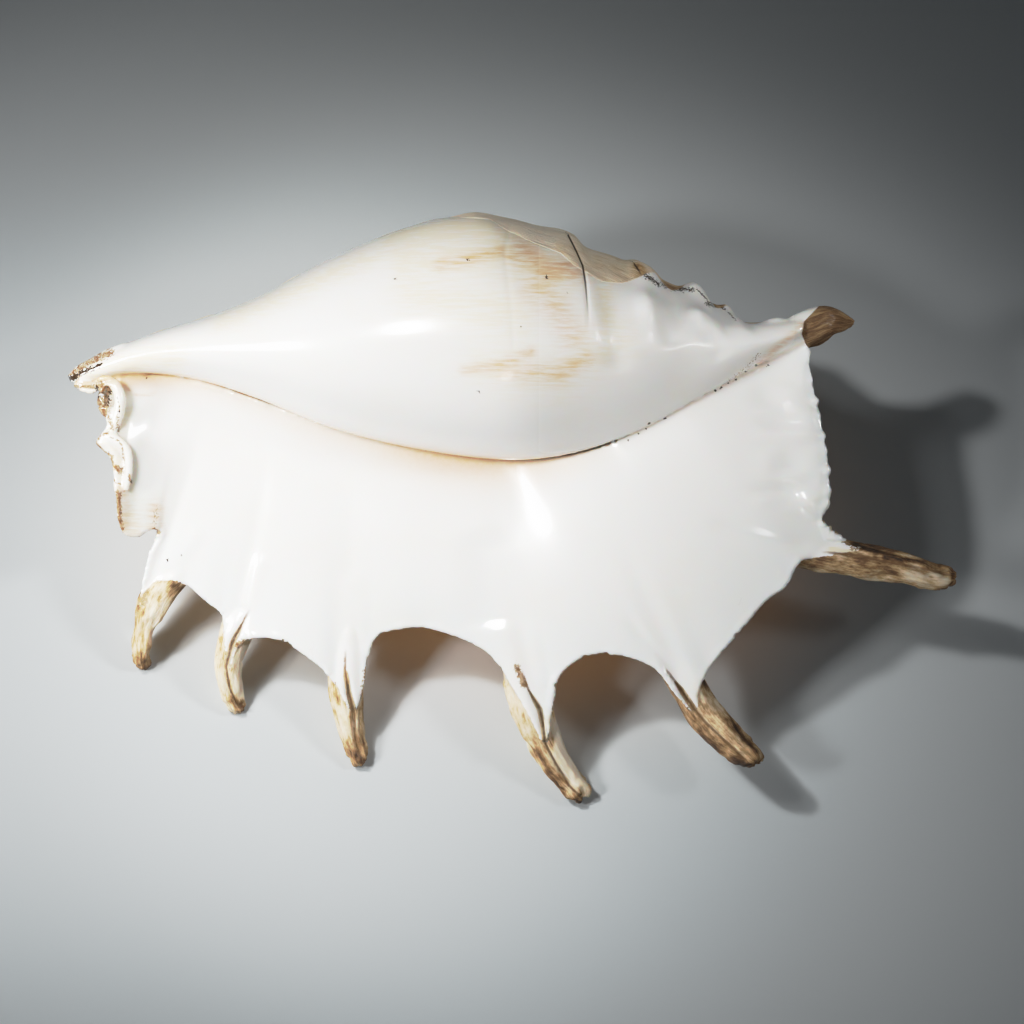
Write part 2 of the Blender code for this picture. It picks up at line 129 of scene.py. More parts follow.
class Lit(Enum):
    """What a lamp lights."""

    FLOOR = "floor"
    SHELL = "shell"


@dataclass(frozen=True)
class Mark:
    """A soft stroke on the mouth side: its half width in mm, its strength and its line."""

    width: float
    strength: float
    line: Line


@dataclass(frozen=True)
class Fold:
    """A ridge or, with a height below 0, a groove on the mouth side. In mm."""

    line: Line
    width: float
    height: float


@dataclass(frozen=True)
class Section:
    """The whorl's section at one x: its back, slit, front, belly and the floor of the mouth."""

    x: float
    back: float
    slit: float
    front: float
    belly: float
    floor: float


@dataclass(frozen=True)
class Rim:
    """One point of the lip's free edge, and the x at which its line starts in the mouth."""

    root_x: float
    x: float
    y: float
    z: float
    thickness: float = 2.2


@dataclass(frozen=True)
class Digit:
    """A finger of the lip: a route of (x, y, z, radius) in mm, root first, and the line of its seam."""

    name: str
    route: tuple[tuple[float, float, float, float], ...]
    seam: Line = ()
    pale: float = 0.5  # from dark brown at 0 to cream at 1


@dataclass(frozen=True)
class Knob:
    """A shoulder knob: its turn round the whorl in degrees, its place along x and its height."""

    turn: float
    x: float
    height: float
    width: float


WHORL = (
    Section(-160.0, 49.0, 46.5, -3.0, -9.0, -5.0),
    Section(-150.0, 55.5, 48.0, 0.0, -14.0, -6.0),
    Section(-140.0, 60.5, 49.5, 4.0, -17.0, -7.0),
    Section(-125.0, 66.0, 49.5, 9.0, -21.0, -8.0),
    Section(-110.0, 70.5, 47.0, 14.0, -25.0, -8.5),
    Section(-92.0, 77.5, 41.0, 21.0, -30.0, -9.0),
    Section(-66.0, 91.3, 30.5, 31.0, -39.0, -9.0),
    Section(-40.0, 102.0, 23.8, 38.0, -47.0, -9.0),
    Section(-22.0, 106.8, 20.5, 41.0, -51.0, -8.5),
    Section(-8.0, 107.4, 19.0, 42.0, -53.0, -8.0),
    Section(5.0, 103.3, 18.7, 42.0, -54.0, -7.5),
    Section(20.0, 98.6, 20.5, 40.0, -53.0, -6.5),
    Section(35.0, 91.8, 24.8, 36.0, -48.0, -5.0),
    Section(50.0, 84.6, 31.3, 30.0, -40.0, -3.0),
    Section(65.0, 77.4, 39.6, 23.0, -31.0, -1.0),
    Section(80.0, 69.5, 47.9, 17.0, -21.0, 1.0),
    Section(92.0, 68.4, 54.4, 13.0, -12.0, 2.5),
    Section(103.0, 69.8, 60.1, 10.0, -5.0, 3.5),
    Section(110.0, 72.4, 65.5, 7.0, -2.0, 3.5),
)

CHAMBER = (
    (0.0, -1.0, 0.12), (0.2, -0.68, -0.3), (0.4, -0.25, -0.58), (0.6, 0.25, -0.62), (0.8, 0.66, -0.38),
    (1.0, 0.8, 0.02),
)  # the way into the shell: a share of it, then y and z in half widths and heights of the whorl

HIND_MARGIN = (
    Rim(104.8, 106.9, 61.9, 4.0), Rim(101.9, 107.6, 55.4, 6.0), Rim(97.6, 108.7, 45.7, 8.0),
    Rim(93.2, 110.9, 36.0, 9.0), Rim(88.9, 112.7, 25.9, 10.0), Rim(84.6, 114.1, 15.1, 10.0),
    Rim(80.6, 114.1, 4.3, 9.0), Rim(76.7, 112.0, -3.6, 8.0),
)
DIGIT_1_TONGUE = (
    Rim(73.4, 115.2, -9.4, 6.0), Rim(70.2, 126.0, -13.3, 3.0), Rim(67.3, 113.8, -15.8, 4.0),
)
ARCH_1_TO_2 = (
    Rim(64.1, 103.0, -18.4, 6.0), Rim(58.7, 99.4, -25.6, 5.0), Rim(51.5, 91.1, -32.4, 4.0),
    Rim(44.3, 83.9, -40.7, 3.0), Rim(37.8, 77.8, -47.9, 2.0),
)
DIGIT_2_TONGUE = (
    Rim(31.7, 71.3, -56.2, 0.0), Rim(27.4, 67.3, -64.1, -1.0), Rim(23.4, 66.6, -72.7, -4.0),
    Rim(19.4, 59.8, -67.0, -1.0),
)
ARCH_2_TO_3 = (
    Rim(14.8, 51.5, -56.5, 0.0), Rim(10.1, 42.5, -52.6, 0.5), Rim(4.7, 31.7, -51.1, 0.0),
    Rim(-0.4, 21.6, -54.7, -1.5),
)
DIGIT_3_TONGUE = (
    Rim(-4.3, 16.6, -60.5, -3.0), Rim(-7.6, 14.8, -69.5, -6.0), Rim(-10.8, 11.9, -83.9, -9.0),
    Rim(-14.4, 5.8, -72.7, -7.0), Rim(-18.4, -1.4, -61.2, -7.0),
)
ARCH_3_TO_4 = (
    Rim(-22.7, -7.2, -52.2, -7.5), Rim(-29.2, -16.9, -46.4, -8.5), Rim(-36.7, -29.5, -42.1, -9.5),
    Rim(-43.9, -42.1, -42.5, -10.0), Rim(-49.0, -49.0, -45.4, -11.0),
)
DIGIT_4_TONGUE = (
    Rim(-52.6, -52.2, -53.3, -13.0), Rim(-55.4, -54.0, -64.1, -15.0), Rim(-58.3, -57.6, -73.1, -18.0),
    Rim(-61.6, -62.6, -64.8, -15.0),
)
ARCH_4_TO_5 = (
    Rim(-65.2, -68.4, -56.9, -12.0), Rim(-69.8, -76.3, -50.8, -11.0), Rim(-74.5, -83.5, -46.4, -11.0),
    Rim(-78.8, -90.0, -45.7, -12.0), Rim(-82.4, -96.8, -46.4, -14.0),
)
DIGIT_5_TONGUE = (
    Rim(-85.3, -103.3, -57.6, -20.0), Rim(-88.2, -104.4, -46.1, -17.0),
)
ARCH_5_TO_6 = (
    Rim(-91.4, -105.8, -36.0, -15.0), Rim(-95.0, -111.2, -32.0, -14.0), Rim(-98.6, -116.6, -27.4, -14.0),
    Rim(-102.2, -123.1, -24.8, -14.5),
)
DIGIT_6_TONGUE = (
    Rim(-105.5, -129.6, -28.8, -16.0), Rim(-108.0, -136.4, -38.9, -20.0), Rim(-110.2, -134.6, -28.8, -16.0),
)
NOTCH = (
    Rim(-112.3, -132.5, -19.1, -13.0), Rim(-114.5, -130.3, -11.9, -11.0), Rim(-116.6, -127.4, -6.8, -9.0),
    Rim(-118.8, -130.3, -6.5, -7.5), Rim(-121.3, -134.6, -9.4, -6.0), Rim(-123.8, -139.0, -9.0, -4.0),
)
RUFFLE = (
    Rim(-126.7, -141.8, -4.3, -1.0, 4.0), Rim(-129.2, -142.2, 2.5, 1.0, 5.0),
    Rim(-131.8, -142.9, 9.0, 2.0, 5.5), Rim(-133.9, -144.0, 18.7, 3.0, 6.0),
    Rim(-136.1, -149.0, 25.6, 4.0, 6.5), Rim(-138.2, -144.7, 30.2, 4.0, 6.0),
    Rim(-140.4, -149.0, 38.9, 5.0, 7.0), Rim(-142.6, -148.3, 45.4, 4.0, 5.0),
)
CANAL_EDGE = (
    Rim(-146.2, -150.8, 42.8, -1.0), Rim(-151.2, -156.2, 43.9, -3.0), Rim(-156.2, -159.1, 46.1, -4.0),
)
LIP = (
    HIND_MARGIN + DIGIT_1_TONGUE + ARCH_1_TO_2 + DIGIT_2_TONGUE + ARCH_2_TO_3 + DIGIT_3_TONGUE
    + ARCH_3_TO_4 + DIGIT_4_TONGUE + ARCH_4_TO_5 + DIGIT_5_TONGUE + ARCH_5_TO_6 + DIGIT_6_TONGUE
    + NOTCH + RUFFLE + CANAL_EDGE
)

DIGITS = (
    Digit(
        "hind_digit",
        route=(
            (94.0, 61.0, 0.0, 5.0), (101.5, 64.2, 1.0, 6.2), (108.0, 66.4, 1.5, 7.0),
            (114.0, 68.4, 0.5, 6.2), (119.0, 68.4, -1.0, 3.8), (122.4, 68.0, -2.0, 1.8),
        ),
        pale=0.24,
    ),
    Digit(
        "digit_1",
        route=(
            (60.0, 4.0, -1.5, 2.5), (82.0, -6.0, -1.5, 5.0), (103.7, -13.7, -1.0, 6.5),
            (119.9, -16.6, 0.0, 6.5), (137.2, -19.4, -0.5, 6.2), (150.5, -23.4, -1.5, 5.5),
            (157.5, -23.8, -2.5, 4.4),
        ),
        seam=((110.0, -14.2), (126.0, -15.8), (134.3, -18.0), (143.3, -19.4), (157.7, -22.7)),
        pale=0.36,
    ),
    Digit(
        "digit_2",
        route=(
            (30.0, -12.0, -5.0, 2.5), (46.0, -36.0, -6.5, 5.0), (60.5, -56.9, -7.0, 7.0),
            (69.1, -72.0, -8.0, 7.0), (79.2, -82.8, -6.0, 6.3), (86.5, -89.0, -3.5, 4.6),
        ),
        seam=((54.0, -54.7), (60.5, -63.4), (65.5, -70.9), (69.5, -75.6), (75.6, -81.4), (82.8, -88.2)),
        pale=0.42,
    ),
    Digit(
        "digit_3",
        route=(
            (-4.0, -12.0, -9.5, 2.5), (-1.6, -34.0, -12.5, 5.0), (3.4, -53.3, -13.0, 8.0),
            (6.6, -68.5, -15.0, 8.2), (13.2, -85.6, -18.5, 6.2), (24.6, -102.2, -21.0, 4.6),
        ),
        seam=((2.9, -55.4), (6.1, -64.4), (10.1, -71.3), (11.2, -76.7), (12.2, -83.9), (15.8, -91.1),
              (20.5, -99.0), (27.4, -105.8)),
        pale=0.62,
    ),
    Digit(
        "digit_4",
        route=(
            (-56.0, -10.0, -11.5, 2.5), (-58.0, -32.0, -15.5, 5.0), (-59.2, -49.7, -17.0, 6.8),
            (-60.0, -67.7, -20.0, 6.4), (-57.8, -81.5, -22.5, 5.0), (-55.6, -89.4, -24.5, 4.0),
        ),
        seam=((-60.1, -49.0), (-60.5, -56.9), (-59.0, -65.9), (-57.2, -73.1), (-56.9, -80.3),
              (-55.8, -87.5)),
        pale=0.55,
    ),
    Digit(
        "digit_5",
        route=(
            (-84.0, -10.0, -12.0, 2.5), (-92.0, -28.0, -17.0, 4.5), (-99.0, -40.7, -19.0, 6.3),
            (-103.0, -54.0, -22.5, 5.5), (-102.4, -65.4, -26.6, 4.5), (-99.9, -71.8, -28.7, 3.5),
        ),
        seam=((-94.3, -34.2), (-97.9, -40.7), (-101.5, -47.9), (-103.7, -56.2), (-102.6, -64.1),
              (-99.4, -71.3)),
        pale=0.68,
    ),
    Digit(
        "digit_6",
        route=(
            (-100.0, -2.0, -12.0, 2.5), (-114.0, -16.0, -16.0, 4.5), (-126.2, -27.4, -19.5, 6.4),
            (-133.0, -39.6, -23.5, 5.0), (-135.4, -51.0, -29.5, 3.9), (-134.9, -56.0, -31.8, 2.9),
        ),
        pale=0.48,
    ),
    Digit(
        "siphon_tip",
        route=(
            (-138.0, 56.0, -4.0, 5.6), (-144.0, 54.0, -5.0, 5.4), (-150.1, 51.8, -6.0, 4.4),
            (-155.5, 50.0, -7.0, 3.4), (-158.5, 48.8, -7.6, 2.2),
        ),
    ),
)

KNOBS = (
    Knob(-128.0, -6.0, 4.0, 15.0),
    Knob(-88.0, 1.0, 7.5, 15.0),
    Knob(-48.0, 8.0, 5.0, 14.0),
    Knob(-14.0, 14.0, 1.5, 12.0),
    Knob(-60.0, 46.0, 4.5, 10.0),
    Knob(-20.0, 45.0, 4.0, 9.0),
    Knob(20.0, 46.0, 3.5, 9.0),
    Knob(58.0, 50.0, 3.5, 9.0),
    Knob(-35.0, 65.0, 3.5, 8.0),
    Knob(10.0, 66.0, 3.5, 8.0),
    Knob(52.0, 68.0, 2.5, 8.0),
    Knob(0.0, 77.0, 2.5, 6.0),
    Knob(8.0, 85.0, -2.4, 6.0),
    Knob(8.0, 95.0, 1.6, 8.0),
)
SUTURES = (24.0, 51.0, 69.0, 80.0)  # mm along x, where each whorl meets the next at the back

ROUGH_BORDER = (
    (-62.0, 112.0), (-40.3, 104.5), (-22.3, 106.0), (-7.9, 104.8), (-2.5, 101.0), (6.5, 96.5),
    (17.3, 92.0), (22.7, 87.1), (31.7, 82.2), (38.9, 81.4), (46.1, 82.4), (51.5, 82.6), (56.9, 79.0),
    (64.1, 78.2), (69.5, 76.2), (73.1, 72.2), (77.0, 70.6), (82.0, 74.0), (110.0, 90.0),
)  # mm, the line along the top of the whorl where the white glaze ends
FLAP_BORDER = (
    (57.0, 108.4), (60.0, 105.6), (63.7, 103.9), (68.4, 104.8), (72.4, 108.8), (77.0, 113.0),
)  # mm, the x where the glaze of the hind digit ends at each y
CRACKS = (
    ((20.2, 99.4), (23.0, 93.2), (25.2, 87.8), (26.1, 81.4), (27.0, 70.2), (27.0, 62.3)),
    ((43.9, 88.9), (45.7, 86.0), (46.8, 83.5)),
)
# Painted shade: how strong the warm painted shade under the mouth's edge, and the mouth's own orange inside,
# are at each x.
MOUTH_COLOUR_AND_SHADE = (
    (-150.0, 0.70), (-132.0, 0.86), (-124.0, 0.76), (-115.0, 0.58), (-104.0, 0.46), (-80.0, 0.38),
    (-66.0, 0.42), (-50.0, 0.52), (-28.0, 0.76), (-12.0, 0.76), (10.0, 0.62), (24.0, 0.38),
    (38.0, 0.16), (60.0, 0.16), (82.0, 0.26), (96.0, 0.16),
)  # how warm the band under the mouth's edge is at each x in mm
# How far the band of painted warm shade reaches below the mouth's edge.
MOUTH_SHADE_BAND = (
    (-150.0, 4.0), (-125.0, 4.4), (-104.0, 4.6), (-80.0, 6.6), (-50.0, 7.2), (-28.0, 8.6),
    (-5.0, 9.0), (10.0, 8.0), (30.0, 5.0), (50.0, 2.6), (96.0, 2.0),
)  # mm, how far that band reaches from the edge
SPECKS = (
    (72.7, 43.6), (74.9, 44.6), (77.4, 46.1), (80.3, 47.5), (83.9, 50.4), (87.5, 52.6), (92.2, 52.9),
    (54.7, 33.5), (49.0, 31.7), (47.9, 29.9), (45.4, 28.1), (41.4, 25.6),
)  # mm, black dots along the mouth
SPECK_WIDTH = 0.45
SPECK_LENGTH = 0.3
MARKS = {
    Tint.CREAM: (
        Mark(8.0, 1.05, ((-42.0, 98.0), (-5.0, 103.0), (10.0, 98.0))),
        Mark(9.5, 0.90, ((-36.0, 90.0), (-5.0, 92.0), (12.0, 84.0))),
        Mark(10.0, 0.75, ((-34.0, 78.0), (0.0, 70.0))),
        Mark(5.0, 0.80, ((-104.0, 69.0), (-76.0, 80.0), (-50.0, 92.0))),
        Mark(9.0, 0.60, ((-8.0, 52.0), (16.0, 48.0), (36.0, 62.0))),
        Mark(4.5, 0.60, ((33.0, 78.0), (36.0, 58.0))),
        Mark(6.0, 0.80, ((-150.0, 50.0), (-122.0, 56.0))),
        Mark(4.5, 0.50, ((-143.0, 46.0), (-140.0, 34.0), (-141.0, 14.0), (-138.0, -4.0))),
        Mark(2.0, 0.60, ((-157.0, 42.6), (-150.0, 40.0))),
        Mark(2.0, 0.90, ((-144.8, 32.4), (-144.2, 28.6))),
        Mark(1.9, 0.80, ((-147.4, 25.0), (-143.2, 23.4), (-141.8, 18.0))),
        Mark(4.0, 0.90, ((-128.0, -30.0), (-133.9, -49.7))),
        Mark(2.8, 1.80, ((-97.9, -50.3), (-97.4, -66.0))),
        Mark(2.6, 0.80, ((-63.4, -66.0), (-60.5, -80.3))),
        Mark(2.6, 1.80, ((14.6, -76.0), (18.0, -88.0), (24.0, -99.0))),
        Mark(4.2, 0.90, ((69.5, -65.9), (80.3, -83.9))),
        Mark(2.6, 0.60, ((112.0, -22.6), (136.1, -24.8))),
        Mark(0.6, 1.60, ((114.0, -13.2), (124.0, -14.4), (132.5, -15.6))),
        Mark(4.2, 1.60, ((144.0, -23.0), (155.9, -23.8))),
    ),
    Tint.ORANGE: (
        Mark(5.0, 0.46, ((4.0, 92.0), (12.0, 85.0), (22.0, 86.0))),
        Mark(3.6, 0.50, ((22.0, 96.0), (24.5, 88.0), (38.0, 87.5))),
        Mark(5.5, 0.40, ((8.0, 80.0), (16.0, 72.0), (22.0, 62.0))),
        Mark(3.6, 0.40, ((-2.0, 50.0), (17.0, 49.0), (26.0, 54.0))),
        Mark(2.2, 0.50, ((-25.9, 87.8), (-15.1, 90.0), (-4.3, 92.5))),
        Mark(1.8, 0.50, ((-16.2, 50.4), (-4.3, 51.8), (6.5, 56.5))),
        Mark(0.9, 0.50, ((-2.9, 91.4), (4.0, 88.9), (13.3, 87.8), (21.0, 88.6))),
        # Painted shade: a tan band of shade along the fold at the spire's end.
        Mark(1.5, 0.34, ((103.7, 67.0), (97.9, 61.2), (89.3, 54.0))),
        Mark(0.5, 0.34, ((-140.8, 47.1), (-136.9, 43.2), (-134.7, 41.9), (-129.2, 42.5))),
        Mark(1.2, 0.80, ((-143.4, 17.0), (-142.2, 15.8))),
        Mark(1.3, 0.60, ((-141.0, 9.0), (-139.8, 7.2))),
        Mark(5.0, 0.30, ((-139.0, -3.0), (-136.4, -8.4))),
        Mark(3.0, 0.42, ((-128.6, 1.6), (-129.4, -5.6))),
        Mark(2.6, 0.40, ((-4.3, -64.1), (4.3, -80.3))),
    ),
    Tint.BROWN: (
        # Painted shade: a brown band of shade along the step at the mouth's edge by the spire.
        Mark(1.3, 0.42, ((78.0, 47.2), (83.9, 51.5), (89.0, 57.2))),
        Mark(2.4, 0.70, ((-144.5, 57.4), (-152.4, 54.2), (-160.4, 48.6))),
        Mark(0.9, 0.80, ((-157.0, 45.4), (-150.6, 45.0))),
        Mark(3.5, 1.00, ((-147.2, 44.2), (-147.5, 36.0))),
        Mark(1.0, 0.60, ((-141.8, 35.2), (-141.4, 29.4))),
        Mark(1.3, 0.60, ((-144.9, 34.8), (-143.4, 29.6))),
        Mark(0.8, 0.70, ((-149.3, 25.1), (-147.6, 27.4), (-145.0, 28.4))),
        Mark(0.8, 0.80, ((-149.2, 24.4), (-146.4, 21.6), (-143.8, 20.1), (-143.5, 17.3))),
        Mark(0.45, 0.80, ((-144.6, 27.0), (-141.3, 25.6), (-139.9, 23.9), (-139.5, 18.0), (-139.6, 14.0))),
        Mark(1.2, 0.90, ((-142.2, 16.2), (-140.4, 14.4))),
        Mark(0.5, 0.70, ((-144.4, 13.8), (-142.4, 10.7), (-140.6, 9.9))),
        Mark(0.7, 0.80, ((-137.6, 13.4), (-137.2, 10.8))),
        Mark(1.5, 0.85, ((-141.7, 7.0), (-141.3, 0.2))),
        Mark(1.4, 0.80, ((-141.4, -2.0), (-140.8, -6.8))),
        Mark(0.45, 0.80, ((-140.4, -8.6), (-137.4, -10.2), (-134.7, -9.1), (-130.4, -7.6))),
        Mark(1.8, 0.44, ((-128.4, 1.2), (-129.0, -4.6))),
        Mark(1.0, 0.90, ((-129.2, -6.4), (-127.6, -7.4))),
        Mark(1.2, 0.65, ((-127.4, -29.5), (-128.2, -33.5))),
        Mark(1.3, 0.75, ((-122.4, -26.8), (-119.2, -28.4))),
        Mark(2.0, 0.70, ((-134.6, -54.7), (-133.9, -57.6))),
        Mark(1.8, 0.80, ((-100.4, -48.2), (-97.2, -47.5))),
        Mark(2.2, 0.80, ((-100.8, -67.7), (-97.2, -72.0))),
        Mark(1.5, 0.60, ((-106.2, -46.1), (-106.2, -56.2))),
        Mark(1.6, 0.55, ((-52.9, -57.6), (-54.4, -72.0))),
        Mark(2.4, 0.80, ((-57.6, -87.8), (-54.0, -90.7))),
        Mark(1.0, 0.60, ((-64.4, -61.9), (-62.6, -69.8))),
        Mark(1.0, 0.80, ((15.5, -68.8), (14.8, -83.9))),
        Mark(1.8, 0.70, ((9.4, -87.5), (19.4, -103.0))),
        Mark(1.6, 0.80, ((1.6, -55.6), (4.4, -62.5))),
        Mark(2.0, 0.70, ((51.5, -59.0), (64.1, -78.5))),
        Mark(2.2, 0.60, ((67.7, -80.3), (83.9, -92.2))),
        Mark(2.2, 0.60, ((122.5, -12.6), (136.0, -14.6))),
    ),
    Tint.DARK: (
        Mark(0.6, 0.80, ((-16.2, 89.6), (-15.3, 89.6))),
        Mark(0.5, 0.70, ((-41.8, 82.8), (-41.0, 82.8))),
        Mark(0.5, 0.80, ((-12.2, 42.8), (-11.4, 42.5))),
        Mark(0.5, 0.70, ((3.2, 65.5), (4.0, 65.2))),
        Mark(0.6, 0.80, ((11.9, 84.2), (12.4, 82.9))),
        Mark(0.6, 0.60, ((19.6, 77.8), (20.4, 77.2))),
        Mark(1.5, 0.62, ((44.6, 88.2), (48.2, 84.6), (52.6, 81.4))),
        Mark(1.5, 0.62, ((53.6, 82.0), (58.0, 80.2), (65.0, 79.8))),
        Mark(1.3, 0.64, ((70.0, 74.8), (76.0, 73.6))),
        Mark(0.45, 0.62, ((66.4, 80.2), (70.6, 75.6), (76.6, 73.2), (80.4, 68.6))),
        Mark(0.5, 0.80, ((-132.2, 48.4), (-131.8, 48.4))),
        Mark(1.5, 0.72, ((-148.0, 53.0), (-152.4, 51.2), (-156.4, 49.4))),
        Mark(1.5, 0.90, ((-157.6, 48.8), (-160.6, 47.9))),
        Mark(1.1, 0.80, ((-149.4, 45.0), (-148.8, 41.0))),
        Mark(0.9, 0.70, ((-144.6, 43.2), (-145.0, 38.6))),
        Mark(0.45, 0.72, ((-142.0, 42.2), (-140.8, 38.0), (-141.2, 33.4))),
        Mark(0.5, 0.80, ((-119.5, -15.5), (-119.2, -15.8))),
        Mark(0.5, 0.80, ((-124.9, -17.3), (-124.6, -17.6))),
        Mark(0.6, 0.80, ((-82.8, -46.1), (-82.8, -47.2))),
        Mark(1.8, 0.90, ((23.0, -104.8), (27.4, -106.6))),
        Mark(0.9, 0.70, ((69.1, -61.2), (73.4, -66.6))),
        Mark(0.8, 0.60, ((80.3, -77.4), (87.8, -86.4))),
        Mark(0.8, 0.50, ((123.5, -11.6), (134.0, -16.0), (148.0, -18.0))),
        Mark(0.9, 0.60, ((159.1, -19.4), (158.0, -28.1))),
        *(Mark(SPECK_WIDTH, 1.0, ((x, y), (x + SPECK_LENGTH, y))) for x, y in SPECKS),
    ),
}
FOLDS = (
    Fold(((39.6, -36.4), (49.7, -47.9), (58.7, -58.7), (66.6, -67.7)), 2.2, -0.7),
    Fold(((6.5, -38.9), (8.6, -49.7), (11.9, -64.1)), 3.0, 0.5),
    Fold(((67.7, -2.9), (82.1, -7.2), (96.5, -10.8), (109.1, -13.7)), 2.6, -0.7),
    Fold(((-58.0, -20.0), (-59.0, -48.0)), 3.5, 0.6),
    Fold(((-90.0, -14.0), (-97.0, -36.0)), 3.0, 0.6),
    Fold(((-112.0, -4.0), (-124.0, -22.0)), 3.0, 0.5),
    Fold(((-12.0, -4.0), (-9.0, -24.0), (-7.0, -44.0)), 9.0, -1.2),
    Fold(((34.5, 82.0), (36.4, 66.0), (38.0, 48.0)), 4.6, -0.9),
    Fold(((52.0, 80.0), (55.0, 70.0), (58.5, 58.0)), 4.2, -0.8),
    Fold(((68.0, 74.0), (71.0, 64.0), (76.0, 54.0)), 4.0, -0.7),
    Fold(((100.0, 54.0), (102.0, 40.0), (105.5, 26.0), (107.5, 15.0), (107.5, 4.0), (105.0, -4.0)),
         5.4, 1.1),
    Fold(((-147.2, 43.6), (-147.6, 37.6)), 2.2, -2.6),
    Fold(((-143.0, 47.6), (-148.3, 46.4), (-152.6, 45.4), (-157.3, 45.0)), 0.9, -1.0),
    Fold(((-144.6, 27.0), (-141.3, 25.6), (-139.9, 23.9), (-139.5, 18.0), (-139.6, 14.0)), 0.6, -0.5),
    Fold(((-149.0, 24.8), (-145.4, 24.4), (-142.0, 21.0), (-141.6, 14.0)), 1.0, 0.6),
    Fold(((-0.4, 104.0), (-2.5, 92.5), (-0.7, 76.3), (0.7, 58.3)), 0.8, -0.16),
)
ROLLS = (
    Digit(
        "hollow_roll",
        route=(
            (-150.4, 45.6, 4.4, 1.1), (-147.0, 47.4, 6.0, 1.8), (-143.2, 46.4, 6.6, 2.1),
            (-140.9, 42.0, 6.8, 2.2), (-141.0, 36.5, 6.6, 2.2), (-142.4, 31.8, 6.0, 2.0),
            (-144.0, 29.4, 5.0, 1.3),
        ),
    ),
    Digit(
        "lobe_roll",
        route=(
            (-148.6, 25.4, 3.6, 1.2), (-145.4, 27.0, 5.6, 1.9), (-141.4, 25.6, 6.0, 1.8),
            (-138.2, 21.5, 5.6, 1.7), (-137.8, 14.5, 4.8, 1.6), (-138.8, 8.0, 3.4, 1.1),
        ),
    ),
)  # the folded rim at the siphon's end


def spread(samples: Array, keys: Iterable[float], values: Iterable[float]) -> Array:
    """A smooth curve through values at the rising keys, read at the samples.

    Args:
        samples: Where the curve is read.
        keys: The rising places at which the values are known.
        values: The values there.

    Returns:
        The curve's value at each sample.
    """
    keys = np.asarray(keys, float)
    values = np.asarray(values, float)
    slopes = np.gradient(values, keys)
    cell = np.clip(np.searchsorted(keys, samples) - 1, 0, len(keys) - 2)
    width = keys[cell + 1] - keys[cell]
    t = (samples - keys[cell]) / width
    start = (1 + 2 * t) * (1 - t) ** 2 * values[cell] + t * (1 - t) ** 2 * width * slopes[cell]
    end = t * t * (3 - 2 * t) * values[cell + 1] + t * t * (t - 1) * width * slopes[cell + 1]
    return start + end


def ease(value: Array, low: float, high: float) -> Array:
    """0 below low, 1 above high and a smooth rise between them."""
    t = np.clip((value - low) / (high - low), 0.0, 1.0)
    return t * t * (3 - 2 * t)


def stack(x: Array, y: Array, z: Array | float) -> Array:
    """Points whose x, y and z are three arrays or numbers that spread to each other."""
    return np.stack(np.broadcast_arrays(x, y, z), axis=-1)


def grain(points: Array, seed: Seed) -> Array:
    """Smooth random values from -1 to 1 through space, one cell to a unit.

    Args:
        points: Places of shape (count, 3), in cells.
        seed: Which of the fields to read.

    Returns:
        The field's value at each place.
    """
    cell = np.floor(points).astype(np.int64)
    t = points - cell
    t = t * t * (3 - 2 * t)
    total = np.zeros(len(points))
    for corner in range(8):
        step = np.array([(corner >> axis) & 1 for axis in range(3)])
        key = (cell + step) @ np.array(GRAIN_KEYS) + seed * GRAIN_SHUFFLE
        key = (key ^ (key >> 13)) * GRAIN_SHUFFLE & 0xFFFFFFFF
        value = ((key ^ (key >> 16)) & 0xFFFF) / 32767.5 - 1.0
        total += value * np.prod(np.where(step == 1, t, 1 - t), axis=1)
    return total


def line_distance(points: Array, line: Line) -> tuple[Array, Array]:
    """How far points lie from a line, signed by the side, and how far along it.

    Args:
        points: Places of shape (count, 2).
        line: The line's corners in order.

    Returns:
        The signed distance, positive to the line's left, and the place along it from 0 to 1.
    """
    corners = np.array(line)
    best = np.full(len(points), FAR)
    side = np.ones(len(points))
    place = np.zeros(len(points))
    lengths = np.linalg.norm(np.diff(corners, axis=0), axis=1)
    passed = 0.0
    for start, end, length in zip(corners[:-1], corners[1:], lengths):
        ahead = (end - start) / length
        offset = points - start
        t = np.clip(offset @ ahead, 0.0, length)
        gap = np.linalg.norm(offset - t[:, None] * ahead, axis=1)
        nearer = gap < best
        best[nearer] = gap[nearer]
        side[nearer] = np.sign(ahead[0] * offset[nearer, 1] - ahead[1] * offset[nearer, 0])
        place[nearer] = (passed + t[nearer]) / lengths.sum()
        passed += length
    return best * side, place


def bell(gap: Array, width: float) -> Array:
    """1 on a line and smoothly less beside it, about a third at this half width."""
    return np.exp(-((gap / width) ** 2))


def gaps_to(points: Array, line: Array) -> Array:
    """How far each point lies from the nearest point of a line.

    Args:
        points: Places of shape (count, 3).
        line: The line's points, of shape (count, 3).

    Returns:
        The distance of each place.
    """
    tree = KDTree(len(line))
    for index, place in enumerate(line.tolist()):
        tree.insert(place, index)
    tree.balance()
    return np.array([tree.find(point)[2] for point in points.tolist()])


def line_frame(centre: Array) -> tuple[Array, Array, Array]:
    """The way a line runs at each of its points, and the ways across it.

    Args:
        centre: The line's points, of shape (count, 3).

    Returns:
        Directions of length 1: ahead, level to the side and upright.
    """
    ahead = np.gradient(centre, axis=0)
    ahead /= np.linalg.norm(ahead, axis=1, keepdims=True)
    side = np.cross(ahead, (0.0, 0.0, 1.0))
    side /= np.linalg.norm(side, axis=1, keepdims=True)
    return ahead, side, np.cross(side, ahead)


def mouth_edge(x: Array) -> Array:
    """The y of the edge of the mouth on the whorl's side, at each x."""
    return spread(x, [section.x for section in WHORL], [section.slit for section in WHORL])


